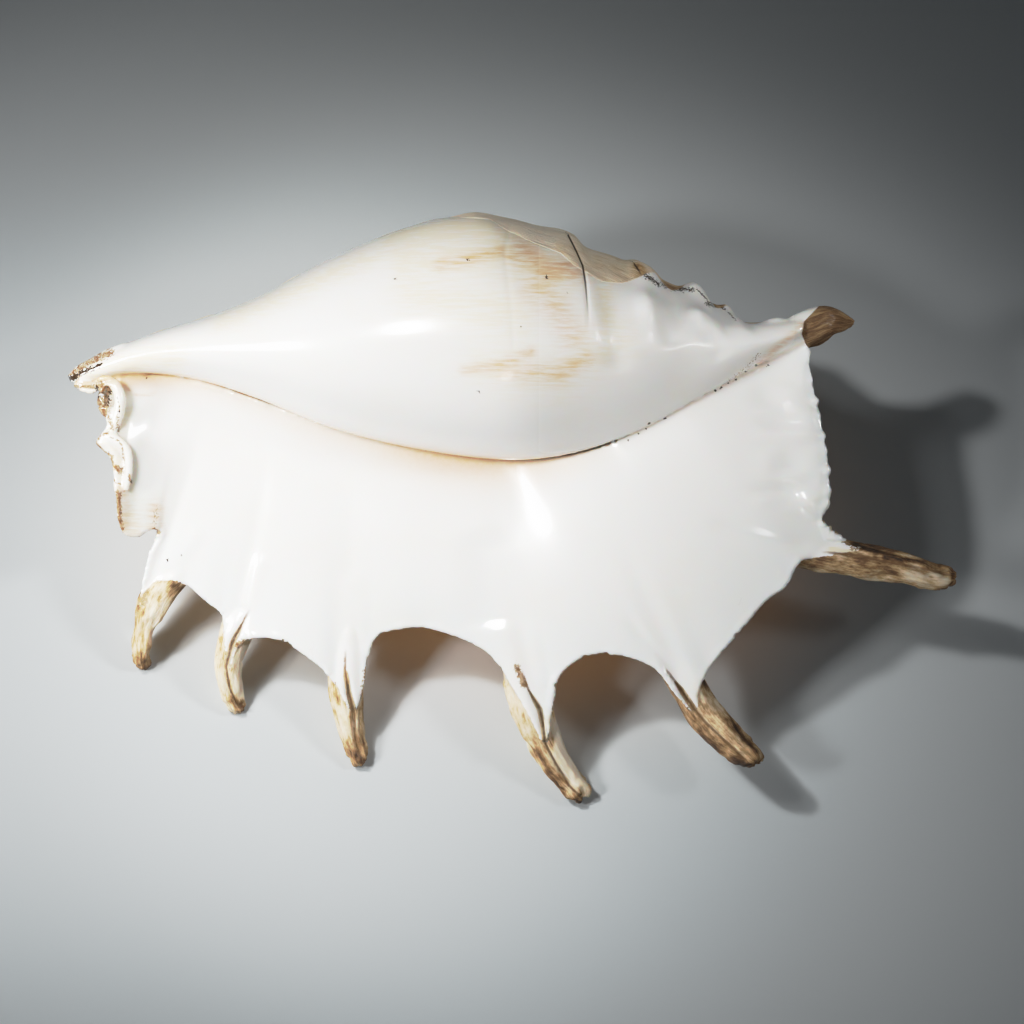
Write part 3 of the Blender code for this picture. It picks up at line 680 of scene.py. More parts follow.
def inside_outline(points: Array, outline: Array) -> Array:
    """Whether each 2-D point lies inside a closed outline.

    Args:
        points: Places of shape (count, 2).
        outline: The outline's corners in order.

    Returns:
        True for each place inside it.
    """
    inside = np.zeros(len(points), bool)
    x, y = points[:, 0], points[:, 1]
    for (ax, ay), (bx, by) in zip(outline, np.roll(outline, -1, axis=0)):
        if ay == by:
            continue
        crosses = (ay > y) != (by > y)
        inside ^= crosses & (x < (bx - ax) * (y - ay) / (by - ay) + ax)
    return inside


def to_room(points: Array) -> Array:
    """Points of the shell's own frame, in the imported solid's frame. Both are in millimetres."""
    x, y, z = points.T
    leaned = (x, y * math.cos(LEAN) - z * math.sin(LEAN), y * math.sin(LEAN) + z * math.cos(LEAN))
    return np.stack(leaned, axis=1) + SET_DOWN


def to_shell(points: Array) -> Array:
    """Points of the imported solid's frame, in the shell's own frame. Both are in millimetres."""
    x, y, z = (points - SET_DOWN).T
    upright = (x, y * math.cos(LEAN) + z * math.sin(LEAN), z * math.cos(LEAN) - y * math.sin(LEAN))
    return np.stack(upright, axis=1)


def turn_to_shell(directions: Array) -> Array:
    """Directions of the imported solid's frame, in the shell's own frame."""
    return to_shell(directions + SET_DOWN)


def read_points(mesh: bpy.types.Mesh) -> Array:
    """The mesh's points in its own units, of shape (count, 3)."""
    points = np.empty(len(mesh.vertices) * 3, np.float32)
    mesh.vertices.foreach_get("co", points)
    return points.reshape(-1, 3).astype(float)


def read_normals(mesh: bpy.types.Mesh) -> Array:
    """The smooth normal at each of the mesh's points."""
    normals = np.empty(len(mesh.vertices) * 3, np.float32)
    mesh.vertex_normals.foreach_get("vector", normals)
    return normals.reshape(-1, 3).astype(float)


def write_points(mesh: bpy.types.Mesh, points: Array) -> None:
    """Puts the mesh's points at these places."""
    mesh.vertices.foreach_set("co", points.astype(np.float32).ravel())
    mesh.update()


def select_only(*objects: bpy.types.Object) -> None:
    """Selects these objects and no others, with the first one active."""
    bpy.ops.object.select_all(action="DESELECT")
    for obj in objects:
        obj.select_set(True)
    bpy.context.view_layer.objects.active = objects[0]


def rolled_grid(name: str, rings: Array, parts: Array) -> bpy.types.Object:
    """A flat grid rolled up so that its rows lie on the rings, closed at both ends.

    Args:
        name: The object's name.
        rings: Points of shape (stations, steps, 3), in millimetres of the shell's frame.
        parts: What each step of a ring belongs to, one Part for each step.

    Returns:
        The closed object, with what each face belongs to in its attribute "part".
    """
    stations, steps, _ = rings.shape
    bpy.ops.object.select_all(action="DESELECT")
    bpy.ops.mesh.primitive_grid_add(x_subdivisions=steps, y_subdivisions=stations - 1, size=1.0)
    grid = bpy.context.object
    grid.name = name
    rolled = np.concatenate([rings, rings[:, :1]], axis=1).reshape(-1, 3)
    write_points(grid.data, to_room(rolled) * MM)
    belongs = grid.data.attributes.new("part", "INT", "FACE")
    belongs.data.foreach_set("value", np.tile(parts, stations - 1).astype(np.int32))
    bpy.ops.object.mode_set(mode="EDIT")
    bpy.ops.mesh.select_all(action="SELECT")
    bpy.ops.mesh.remove_doubles(threshold=MERGE)
    bpy.ops.mesh.select_all(action="SELECT")
    bpy.ops.mesh.fill_holes(sides=0)
    bpy.ops.mesh.select_all(action="SELECT")
    bpy.ops.mesh.normals_make_consistent(inside=False)
    bpy.ops.object.mode_set(mode="OBJECT")
    return grid


class WhorlSizes:
    """The sizes of the big whorl at each station of the loft, as columns. In mm, spans along x."""

    mouth_gap = 5.5  # the widest opening between the whorl and the lip
    narrow_gap = 1.7  # where the lip lies on the whorl
    mouth_opens = (-150.0, -60.0)
    mouth_closes = (0.0, 50.0)
    slope_starts = (-8.0, 40.0)  # from here the front slopes down to the mouth
    spire_ends = (60.0, 96.0)
    floor_rise = 10.5  # of the mouth's floor before the spire
    front_drop = 2.5  # of the spire's front
    hollow_opens = (-112.0, -72.0)
    hollow_closes = (12.0, 36.0)
    least_depth = 0.12  # of the hollow, where it is closed
    least_swell = 0.47  # of the lip's bulge, at its ends
    swell_rise = 1.53
    swell_ends = (40.0, 100.0)

    def __init__(self, root_x: Array) -> None:
        """Reads every size at the stations.

        Args:
            root_x: The x of each station.
        """
        self.x = root_x[:, None]
        rows = np.array([astuple(section) for section in WHORL])
        columns = [spread(self.x, rows[:, 0], column) for column in rows.T[1:]]
        self.back, self.slit, self.front, self.belly, self.floor = columns
        self.slope = ease(self.x, *self.slope_starts)
        spire = self.slope * (1 - ease(self.x, *self.spire_ends))
        self.floor = self.floor + self.floor_rise * spire
        self.front = self.front - self.front_drop * spire
        self.middle_y = (self.back + self.slit) / 2
        self.half_y = (self.back - self.slit) / 2
        self.middle_z = (self.front + self.belly) / 2
        self.height = self.middle_z - self.belly
        depth = (1 - self.least_depth) * ease(self.x, *self.hollow_opens)
        self.depth = self.least_depth + depth * (1 - ease(self.x, *self.hollow_closes))
        rise = ease(self.x, *self.mouth_opens)
        opening = rise * (1 - ease(self.x, *self.mouth_closes))
        self.gap = self.narrow_gap + (self.mouth_gap - self.narrow_gap) * opening
        swell = self.least_swell + self.swell_rise * rise * (1 - ease(self.x, *self.swell_ends))
        self.swell = np.minimum(swell, 1.0)
        self.ceiling = self.floor + self.gap


@dataclass(frozen=True)
class WhorlAndLip:
    """The big whorl, its spire and the broad lip: one sheet lofted round and round. In mm."""

    lip_thickness: float = 7.0
    lip_bulge: float = 4.0
    most_thickness: float = 0.5  # of the depth under the mouth's floor
    thickens: Span = (0.0, 0.6)  # of the way in from the edge
    outer_end: float = 5.0 / 11.0  # of the way from the mouth, where the outer face turns to the belly
    slope_power: float = 1.7  # of the fall of the spire's front to the mouth
    chamber_swell: float = 0.14
    blind_end: float = 0.85  # how much of the hollow's gap is closed at its end
    knob_reach: float = 0.55  # of a knob's width, how far it spreads along x
    knob_turn: float = 1.5  # degrees round the whorl for each millimetre of a knob's width
    suture_step: float = 2.6
    suture_rise: float = 2.5
    suture_length: float = 12.0
    suture_shift: float = 9.0  # how far a step runs on along x in a quarter turn
    suture_starts: Span = (-100.0, -70.0)  # degrees, where the steps rise from the belly
    upper_loss: float = 0.6  # of a step's height, lost on the upper front
    upper_front: Span = (10.0, 45.0)
    lower_front: Span = (45.0, 95.0)
    evening_stations: int = 19
    stations_between: int = 4
    lip_steps: int = 34
    roll_turn: float = 75.0  # degrees up and down, how far the lip's edge is rolled
    roll_steps: int = 7
    fall_steps: int = 18
    chamber_steps: int = 14
    quarter_steps: int = 26

    def dense_edge(self) -> Array:
        """The lip's edge with smooth stations between the measured ones.

        Returns:
            Columns root_x, x, y, z and thickness, one row for each station.
        """
        rows = np.array([astuple(rim) for rim in LIP])
        steps = np.linalg.norm(np.diff(rows[:, 1:4], axis=0), axis=1)
        chord = np.concatenate([[0.0], np.cumsum(steps)])
        count = self.stations_between * (len(rows) - 1) + 1
        samples = np.interp(np.linspace(0, len(rows) - 1, count), np.arange(len(rows)), chord)
        return np.stack([spread(samples, chord, column) for column in rows.T], axis=1)

    def relief(self, x: Array, turn: Array) -> Array:
        """How far the shoulder knobs and the whorls' steps stand out.

        Args:
            x: The place along the shell.
            turn: The turn round the whorl in degrees, 0 at its back and 90 at the front.

        Returns:
            The height at each x and turn.
        """
        out = np.zeros(np.broadcast(x, turn).shape)
        for knob in KNOBS:
            along = (x - knob.x) / (knob.width * self.knob_reach)
            around = (turn - knob.turn) / (knob.width * self.knob_turn)
            out += knob.height * np.exp(-(along**2 + around**2))
        shift = self.suture_shift * turn / 90.0
        upper = self.upper_loss * ease(turn, *self.upper_front)
        lower = (1 - self.upper_loss) * ease(turn, *self.lower_front)
        above = ease(turn, *self.suture_starts) * (1 - upper - lower)
        for suture in SUTURES:
            behind = x - suture - shift
            rise = ease(-behind, -self.suture_rise, self.suture_rise)
            out += self.suture_step * above * (rise * np.exp(np.minimum(behind, 0.0) / self.suture_length))
        return out

    def whorl_arc(self, whorl: WhorlSizes, turns: Array, centre: Array, height: Array) -> Array:
        """A quarter of the whorl's section, with its relief.

        Args:
            whorl: The whorl's sizes.
            turns: The turns in degrees at which it is read.
            centre: The z of the quarter's centre at each station.
            height: The quarter's height above it.

        Returns:
            The points of the quarter at each station.
        """
        turn = turns[None, :]
        radians = np.radians(turn)
        out = self.relief(whorl.x, turn)
        y = whorl.middle_y + (whorl.half_y + out) * np.cos(radians)
        slope = 1 - np.abs(np.cos(radians)) ** self.slope_power
        share = whorl.slope * (turn > 90.0)
        z = centre + (height + out) * ((1 - share) * np.sin(radians) + share * slope)
        return stack(whorl.x, y, z)

    def even_edge(self, edge: Array) -> Array:
        """The edge of the lip with its digits and arches evened out.

        Args:
            edge: The edge's points, of shape (stations, 1, 3).

        Returns:
            The evened points, of the same shape.
        """
        span = (self.evening_stations - 1) * self.stations_between + 1
        weights = np.hanning(span)
        weights /= weights.sum()
        padded = np.pad(edge[:, 0], ((span // 2, span // 2), (0, 0)), mode="edge")
        columns = [np.convolve(padded[:, axis], weights, mode="valid") for axis in range(3)]
        return np.stack(columns, axis=1)[:, None, :]

    def lip_faces(self, whorl: WhorlSizes, rows: Array) -> list[Array]:
        """The inner face of the lip, its rolled edge and its outer face down to the belly.

        Args:
            whorl: The whorl's sizes.
            rows: The edge's stations from dense_edge.

        Returns:
            The points of the inside, the edge, the outside and the fall to the belly.
        """
        root = np.concatenate([whorl.x, whorl.slit, whorl.floor], axis=1)[:, None, :]
        edge = rows[:, None, 1:4]
        half = rows[:, 4][:, None, None] / 2
        outward = (edge - root) * (1.0, 1.0, 0.0)
        outward /= np.linalg.norm(outward, axis=2, keepdims=True)
        up = np.array([0.0, 0.0, 1.0])
        centre = edge - outward * half
        spread_out = edge - self.even_edge(edge)
        lift = self.lip_bulge * up * whorl.swell[:, None]

        def lie(along: Array) -> Array:
            """How the lip lies off the straight way from the mouth to its edge."""
            return lift * np.sin(math.pi * along) + spread_out * (along**3 - along)

        along = np.linspace(0.0, 1.0, self.lip_steps)[None, :, None]
        inner = root + (centre + up * half - root) * along + lie(along)
        roll = np.radians(np.linspace(self.roll_turn, -self.roll_turn, self.roll_steps))[None, :, None]
        edge_roll = centre + half * (outward * np.cos(roll) + up * np.sin(roll))
        most = self.most_thickness * (whorl.floor - whorl.belly)
        thickness = np.minimum(self.lip_thickness, most)[:, :, None]
        back = np.linspace(1.0, self.outer_end, 2 * self.lip_steps // 3)[None, :, None]
        outer = root + (centre - up * half - root) * back + lie(back)
        outer = outer - up * np.maximum(thickness - 2 * half, 0.0) * ease(1 - back, *self.thickens)
        return [inner, edge_roll, outer, self.fall(whorl, outer)]

    def fall(self, whorl: WhorlSizes, outer: Array) -> Array:
        """The smooth way from the lip's outer face to the lowest line of the whorl.

        Args:
            whorl: The whorl's sizes.
            outer: The points of the outer face.

        Returns:
            The points between that face and the line.
        """
        belly = stack(whorl.x, whorl.middle_y, whorl.belly)
        start = outer[:, -1:]
        step = np.linspace(0.0, 1.0, self.fall_steps + 2)[None, 1:-1, None]
        reach = np.linalg.norm(belly - start, axis=2, keepdims=True)
        leave = outer[:, -1:] - outer[:, -2:-1]
        leave = leave / np.linalg.norm(leave, axis=2, keepdims=True) * reach
        arrive = np.array([0.0, 1.0, 0.0]) * reach
        return (
            (1 + 2 * step) * (1 - step) ** 2 * start
            + step * (1 - step) ** 2 * leave
            + step**2 * (3 - 2 * step) * belly
            + step**2 * (step - 1) * arrive
        )

    def hollow(self, whorl: WhorlSizes) -> Array:
        """The walls of the space inside the mouth: along the core, round the blind end, back.

        Args:
            whorl: The whorl's sizes.

        Returns:
            The points of both walls at each station.
        """
        along = np.linspace(0.0, 1.0, self.chamber_steps + 1)[None, 1:]
        keys, deep_y, deep_z = zip(*CHAMBER)
        path_y = spread(along, keys, deep_y)
        path_z = spread(along, keys, deep_z)
        start_z = whorl.floor + whorl.gap / 2
        y = whorl.slit + whorl.depth * (whorl.middle_y + path_y * whorl.half_y - whorl.slit)
        z = start_z + whorl.depth * (whorl.middle_z + path_z * whorl.height - start_z)
        across_y = np.gradient(y, axis=1)
        across_z = np.gradient(z, axis=1)
        length = np.hypot(across_y, across_z)
        swelling = self.chamber_swell * whorl.height * whorl.depth * np.sin(math.pi * along)
        half = whorl.gap / 2 * (1 - self.blind_end * along) + swelling
        core = stack(whorl.x, y - half * across_z / length, z + half * across_y / length)
        wall = stack(whorl.x, y + half * across_z / length, z - half * across_y / length)
        return np.concatenate([core, wall[:, ::-1]], axis=1)

    def build(self) -> bpy.types.Object:
        """Lofts the closed sheet from the spire to the siphon."""
        rows = self.dense_edge()
        whorl = WhorlSizes(rows[:, 0])
        turns = np.linspace(0.0, 90.0, self.quarter_steps)
        inner, roll, outer, fall = self.lip_faces(whorl, rows)
        stretches = [
            (Part.LIP_INSIDE, inner),
            (Part.LIP_EDGE, roll),
            (Part.LIP_OUTSIDE, np.concatenate([outer, fall], axis=1)),
            (Part.BACK, self.whorl_arc(whorl, turns - 90.0, whorl.middle_z, whorl.height)),
            (Part.FRONT, self.whorl_arc(whorl, turns[1:], whorl.middle_z, whorl.height)),
            (Part.CALLUS, self.whorl_arc(
                whorl, turns[1:] + 90.0, whorl.ceiling, whorl.front - whorl.ceiling)),
            (Part.HOLLOW, self.hollow(whorl)),
        ]
        parts = np.concatenate([np.full(points.shape[1], part) for part, points in stretches])
        rings = np.concatenate([points for _, points in stretches], axis=1)
        LOG.info("whorl and lip: %d stations of %d steps", rings.shape[0], rings.shape[1])
        return rolled_grid("whorl_and_lip", rings, parts)


@dataclass(frozen=True)
class DigitTubes:
    """The fingers of the lip, the hind digit, the siphon's tip and the rolls of its rim."""

    sides: int = 28
    steps: int = 8
    tip_length: float = 0.6  # of the last radius
    tip_radius: float = 0.55  # of the last radius

    def axis(self, digit: Digit) -> Array:
        """Smooth places along a digit, with the radius there.

        Args:
            digit: The digit or roll.

        Returns:
            Columns x, y, z and radius, one row for each place.
        """
        route = np.array(digit.route)
        keys = np.arange(len(route), dtype=float)
        samples = np.linspace(0.0, keys[-1], self.steps * (len(route) - 1) + 1)
        return np.stack([spread(samples, keys, column) for column in route.T], axis=1)

    def build(self, digit: Digit, part: Part = Part.DIGIT) -> bpy.types.Object:
        """Rolls a tube round the digit's axis, closing to a blunt tip.

        Args:
            digit: The digit or roll.
            part: What its skin belongs to.

        Returns:
            The closed tube.
        """
        rows = self.axis(digit)
        centre = rows[:, :3]
        radius = rows[:, 3]
        ahead, side, top = line_frame(centre)
        tip = centre[-1:] + ahead[-1:] * radius[-1] * self.tip_length
        centre = np.concatenate([centre, tip])
        radius = np.append(radius, radius[-1] * self.tip_radius)
        angle = np.linspace(0.0, 2 * math.pi, self.sides, endpoint=False)[None, :, None]
        spoke = side[:, None] * np.cos(angle) + top[:, None] * np.sin(angle)
        spoke = np.concatenate([spoke, spoke[-1:]])
        rings = centre[:, None] + radius[:, None, None] * spoke
        return rolled_grid(digit.name, rings, np.full(self.sides, part))


class SkinMap:
    """What each point of the fused skin belongs to, and where it lies on it. In mm."""

    margin = 12.0  # round the box of a digit's axis, where its skin is looked for
    closing = ((-165.0, 52.0), (-150.0, 80.0), (100.0, 110.0), (112.0, 75.0))  # the outline past the lip
    most_seam = 9.0

    def __init__(self, tree: BVHTree, parts: Array, tubes: DigitTubes, edge: Array) -> None:
        """Keeps the pieces as they were before they were fused.

        Args:
            tree: The unfused faces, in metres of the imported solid's frame.
            parts: What each of those faces belongs to.
            tubes: The digits, whose axes are read.
            edge: The lip's edge from WhorlAndLip.dense_edge.
        """
        self.tree = tree
        self.parts = parts
        self.axes = [tubes.axis(digit) for digit in DIGITS]
        self.edge = edge

    def read(self, mesh: bpy.types.Mesh) -> None:
        """Finds every measure of the mesh's points.

        Args:
            mesh: The fused mesh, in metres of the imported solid's frame.
        """
        room = read_points(mesh)
        self.points = to_shell(room / MM)
        self.normals = turn_to_shell(read_normals(mesh))
        found = [self.tree.find_nearest(point)[2] for point in room.tolist()]
        self.part = self.parts[np.array(found)]
        self.flat = self.points[:, :2]
        self.read_digits()
        self.read_whorl()
        self.read_edge()

    def read_digits(self) -> None:
        """Finds the nearest digit of each point and the place along and round its axis."""
        count = len(self.points)
        self.digit = np.full(count, -1)
        self.reach = np.full(count, FAR)  # distance from the axis over the radius there
        self.along = np.zeros(count)
        self.around = np.zeros(count)
        self.length = np.ones(count)
        for index, rows in enumerate(self.axes):
            centre = rows[:, :3]
            low = centre.min(axis=0) - self.margin
            high = centre.max(axis=0) + self.margin
            near = np.flatnonzero(((self.points > low) & (self.points < high)).all(axis=1))
            steps = np.linalg.norm(np.diff(centre, axis=0), axis=1)
            passed = np.concatenate([[0.0], np.cumsum(steps)])
            offset = self.points[near][:, None] - centre[None]
            gaps = np.linalg.norm(offset, axis=2) / rows[:, 3]
            nearest = gaps.argmin(axis=1)
            reach = gaps[np.arange(len(near)), nearest]
            better = reach < self.reach[near]
            chosen = near[better]
            nearest = nearest[better]
            offset = offset[better, nearest]
            ahead, side, top = (way[nearest] for way in line_frame(centre))
            self.digit[chosen] = index
            self.reach[chosen] = reach[better]
            self.along[chosen] = passed[nearest] + (offset * ahead).sum(axis=1)
            turn = np.arctan2((offset * side).sum(axis=1), (offset * top).sum(axis=1))
            self.around[chosen] = turn
            self.length[chosen] = passed[-1]

    def read_whorl(self) -> None:
        """Finds the turn round the whorl, in degrees, and the radius there."""
        x = np.clip(self.points[:, 0], WHORL[0].x, WHORL[-1].x)
        whorl = WhorlSizes(x)
        y = (self.points[:, 1] - whorl.middle_y[:, 0]) / whorl.half_y[:, 0]
        z = (self.points[:, 2] - whorl.middle_z[:, 0]) / whorl.height[:, 0]
        self.turn = np.degrees(np.arctan2(z, y))
        self.girth = (whorl.half_y + whorl.height)[:, 0] / 2

    def read_edge(self) -> None:
        """Finds the distance from the lip's edge, and which points lie inside its outline."""
        edge = self.edge[:, 1:4]
        self.edge_gap = gaps_to(self.points, edge)
        outline = np.concatenate([edge[:, :2], np.array(self.closing)])
        sign = np.where(inside_outline(self.flat, outline), 1.0, -1.0)
        level = (1.0, 1.0, 0.0)
        self.outline_gap = gaps_to(self.points * level, edge * level) * sign

    def seam(self) -> tuple[Array, Array]:
        """How each point lies by its nearest digit's seam.

        Returns:
            The signed distance from the seam, and the place along it from 0 to 1.
        """
        gap = np.full(len(self.points), self.most_seam)
        place = np.zeros(len(self.points))
        for index, digit in enumerate(DIGITS):
            if not digit.seam:
                continue
            near = np.flatnonzero(self.digit == index)
            distance, along = line_distance(self.flat[near], digit.seam)
            gap[near] = np.clip(distance, -self.most_seam, self.most_seam)
            place[near] = along
        return gap, place


@dataclass(frozen=True)
class GlazeBorder:
    """Where the white glaze ends. It is measured in mm from its border, and below 0 outside it."""

    most: float = 8.0
    over_edge: float = 1.2  # past the lip's edge, on the outer side
    whorl_start: float = -100.0  # degrees round the whorl
    whorl_fade: float = 0.4  # of the distance from the whorl's border
    digit_reach: float = 2.2  # radii from a digit's axis
    digit_side: float = 75.0  # the highest y of the digits
    over_outline: float = 0.3
    underside: Span = (-0.2, 0.35)  # the normal's z
    underside_loss: float = 4.0
    digit_loss: float = 0.6  # where the skin is a digit's own
    lip_reach: Span = (1.02, 1.3)  # radii, where the lip beside a digit is glazed again
    lip_gain: float = 8.3
    seam_bare: float = 0.8
    seam_root: Span = (0.0, 0.3)  # of the seam
    seam_root_gain: float = 1.9
    seam_side: float = 5.0
    last_digit: int = 6
    last_reach: float = 2.0
    last_y: float = -24.8
    last_fade: float = 0.32
    last_left: Span = (-129.0, 0.95)  # an x, and how much later the glaze ends for each mm past it
    last_right: Span = (-124.0, 1.3)
    flap_digit: int = 0
    flap_corner: Span = (98.0, 57.5)
    flap_fade: float = 0.9

    def read(self, skin: SkinMap) -> Array:
        """Measures the glaze at each point.

        Args:
            skin: The skin's measures.

        Returns:
            How far each point lies inside the glaze.
        """
        glaze = np.full(len(skin.points), self.most)
        outside = np.isin(skin.part, (Part.LIP_OUTSIDE, Part.BACK))
        glaze[outside] = self.over_edge - skin.edge_gap[outside]
        on_whorl = np.isin(skin.part, (Part.FRONT, Part.BACK)) & (skin.turn > self.whorl_start)
        glaze[on_whorl] = self.whorl_fade * self.past_border(skin)[on_whorl]
        glaze = self.flap(skin, self.last(skin, self.digits(skin, glaze)))
        return np.clip(glaze, -self.most, self.most)

    def past_border(self, skin: SkinMap) -> Array:
        """Measures the whorl from the line where its rough outside starts.

        Args:
            skin: The skin's measures.

        Returns:
            How far each point lies past the line.
        """
        border = np.array(ROUGH_BORDER)
        x = np.clip(skin.points[:, 0], border[0, 0], border[-1, 0])
        whorl = WhorlSizes(x)
        border_y = np.interp(x, border[:, 0], border[:, 1])
        level = (border_y - whorl.middle_y[:, 0]) / whorl.half_y[:, 0]
        border_turn = np.degrees(np.arccos(np.clip(level, -1.0, 0.999)))
        return np.clip(np.radians(skin.turn - border_turn) * skin.girth, -self.most, self.most)

    def digits(self, skin: SkinMap, glaze: Array) -> Array:
        """The glaze by the digits, which ends at the lip's outline and leaves the seams bare.

        Args:
            skin: The skin's measures.
            glaze: The measure so far.

        Returns:
            The measure with the digits.
        """
        up = skin.normals[:, 2]
        near = (skin.digit >= 0) & (skin.reach < self.digit_reach) & (skin.points[:, 1] < self.digit_side)
        edge = skin.outline_gap + self.over_outline - self.underside_loss * (1 - ease(up, *self.underside))
        glaze = np.where(near & (skin.part == Part.DIGIT), edge - self.digit_loss, glaze)
        least = self.lip_gain * ease(skin.reach, *self.lip_reach) - self.most
        lip = np.isin(skin.part, (Part.LIP_INSIDE, Part.LIP_EDGE))
        glaze = np.where(near & lip, np.maximum(edge, least), glaze)
        gap, place = skin.seam()
        strip = np.abs(gap) + self.seam_bare - self.seam_root_gain * ease(place, *self.seam_root)
        beside = near & (up > 0.0) & (np.abs(gap) < self.seam_side)
        return np.where(beside, np.minimum(glaze, strip), glaze)

    def last(self, skin: SkinMap, glaze: Array) -> Array:
        """The glaze of the last digit, which ends sooner in the middle than at the sides.

        Args:
            skin: The skin's measures.
            glaze: The measure so far.

        Returns:
            The measure with the last digit's border.
        """
        x, y = skin.flat.T
        last = (skin.digit == self.last_digit) & (skin.reach < self.last_reach)
        left_x, left_gain = self.last_left
        right_x, right_gain = self.last_right
        sides = left_gain * np.maximum(left_x - x, 0.0)
        sides += right_gain * np.maximum(x - right_x, 0.0)
        fade = (y - self.last_y + sides) * self.last_fade
        return np.where(last, np.minimum(glaze, fade), glaze)

    def flap(self, skin: SkinMap, glaze: Array) -> Array:
        """The glaze of the flap at the spire's end, which has a border of its own."""
        x, y = skin.flat.T
        corner_x, corner_y = self.flap_corner
        flap = (skin.digit == self.flap_digit) & (x > corner_x) & (y > corner_y)
        border_x = np.interp(y, *zip(*FLAP_BORDER))
        return np.where(flap, (border_x - x) * self.flap_fade, glaze)


@dataclass(frozen=True)
class SurfaceRelief:
    """The fine forms that the lofted pieces don't have: folds, wrinkles, seams and steps. In mm."""

    facing: Span = (0.0, 0.4)  # the normal's z
    least_up: float = -0.2  # the least z of a normal on the mouth side
    digit_ends: Span = (1.15, 1.6)  # radii from a digit's axis
    digit_fold: float = 0.55
    fold_cell: Span = (3.6, 15.0)  # round the digit and along it
    lump_share: float = 1.2
    lump_cell: Span = (7.0, 9.0)
    plate_share: float = 1.4
    plate_cell: Span = (5.0, 11.0)
    crease_cell: Span = (4.0, 20.0)
    crease_width: float = 0.14  # of the field's height
    digit_wrinkle: float = 0.35
    wrinkle_cell: Span = (1.5, 5.0)
    tip_rags: float = 1.1
    rag_size: float = 2.2
    rag_start: float = 0.86  # of the digit's length
    digit_apart: float = 17.0  # so that no two digits have the same folds
    seam_depth: float = 0.9
    seam_width: float = 0.7
    seam_starts: Span = (0.02, 0.35)  # of its length
    valley_depth: float = 0.7
    valley_width: float = 2.4
    valley_starts: Span = (0.15, 0.6)
    flange_step: float = 0.5
    flange_starts: Span = (0.05, 0.35)
    flange_reach: Span = (1.2, 1.7)  # radii
    broad_fold: float = 1.0  # the least width of a fold whose ends fade
    fold_starts: Span = (0.0, 0.25)
    fold_ends: Span = (0.85, 1.0)
    crack_depth: float = 0.45
    crack_width: float = 0.6
    crack_ends: Span = (0.8, 1.0)
    rim_reach: float = 1.3  # radii, the digits' own skin has no rim
    edge_bead: float = 0.35
    bead_place: float = 1.2  # from the edge
    bead_width: float = 1.1
    chip_depth: float = 0.7
    chip_size: float = 2.6
    chip_field: Span = (0.35, 0.7)
    chip_side: Span = (0.6, 1.6)
    bump_height: float = 0.35
    bump_size: float = 4.5
    bump_side: Span = (1.0, 4.0)
    scallop_depth: float = 0.8
    scallop_size: float = 2.5
    scallop_level: float = 0.7
    scallop_side: Span = (1.0, 4.5)
    hind_x: Span = (98.0, 104.0)
    hind_y: float = -4.0
    cord_height: float = 0.25
    cord_size: float = 2.6
    cord_wander: float = 0.6
    cord_wander_size: float = 30.0
    growth_height: float = 0.22
    growth_cell: Span = (9.0, 2.4)  # along the whorl and round it
    wear_height: float = 0.5
    wear_size: float = 14.0
    glaze_wave: float = 0.16
    wave_size: float = 22.0
    ripple_height: float = 0.75
    ripple_cell: Span = (9.0, 4.0)
    ripple_x: tuple[Span, Span] = ((78.0, 96.0), (106.0, 112.0))  # where the ripples start and end
    ripple_y: tuple[Span, Span] = ((-4.0, 6.0), (42.0, 52.0))

    def digit_grain(self, skin: SkinMap, cell: Span, seed: Seed) -> Array:
        """A random field with cells of this size round and along each digit."""
        around = skin.around * DIGIT_RADIUS / cell[0]
        return grain(stack(around, skin.along / cell[1], skin.digit * self.digit_apart), seed)

    def digits(self, skin: SkinMap, glaze: Array) -> Array:
        """The long folds, wrinkles and ragged ends of the digits outside the glaze.

        Args:
            skin: The skin's measures.
            glaze: How far each point lies inside the glaze.

        Returns:
            The height at each point.
        """
        bare = (1 - ease(skin.reach, *self.digit_ends)) * (1 - ease(glaze, -1.0, 0.5)) * (skin.digit >= 0)
        folds = self.digit_grain(skin, self.fold_cell, Seed.FOLDS)
        crease = -bell(self.digit_grain(skin, self.crease_cell, Seed.CREASES), self.crease_width)
        lumps = self.lump_share * self.digit_grain(skin, self.lump_cell, Seed.LUMPS)
        plates = self.plate_share * np.abs(self.digit_grain(skin, self.plate_cell, Seed.PLATES))
        wrinkles = self.digit_grain(skin, self.wrinkle_cell, Seed.WRINKLES)
        out = self.digit_fold * (folds + crease + lumps - plates) + self.digit_wrinkle * wrinkles
        tips = ease(skin.along / skin.length, self.rag_start, 1.0) * (skin.digit > 0)
        return bare * (out + self.tip_rags * tips * grain(skin.points / self.rag_size, Seed.RAGS))

    def seams(self, skin: SkinMap, glaze: Array) -> Array:
        """The open seam down the mouth side of each digit, and the step of the glaze beside it.

        Args:
            skin: The skin's measures.
            glaze: How far each point lies inside the glaze.

        Returns:
            The height at each point.
        """
        gap, place = skin.seam()
        facing = ease(skin.normals[:, 2], *self.facing)
        groove = self.seam_depth * bell(gap, self.seam_width) * ease(place, *self.seam_starts)
        valley = self.valley_depth * bell(gap, self.valley_width) * ease(place, *self.valley_starts)
        on_digit = (1 - ease(skin.reach, *self.flange_reach)) * ease(place, *self.flange_starts)
        step = self.flange_step * ease(glaze, -0.5, 0.5) * on_digit * facing
        return step - facing * (groove + valley)

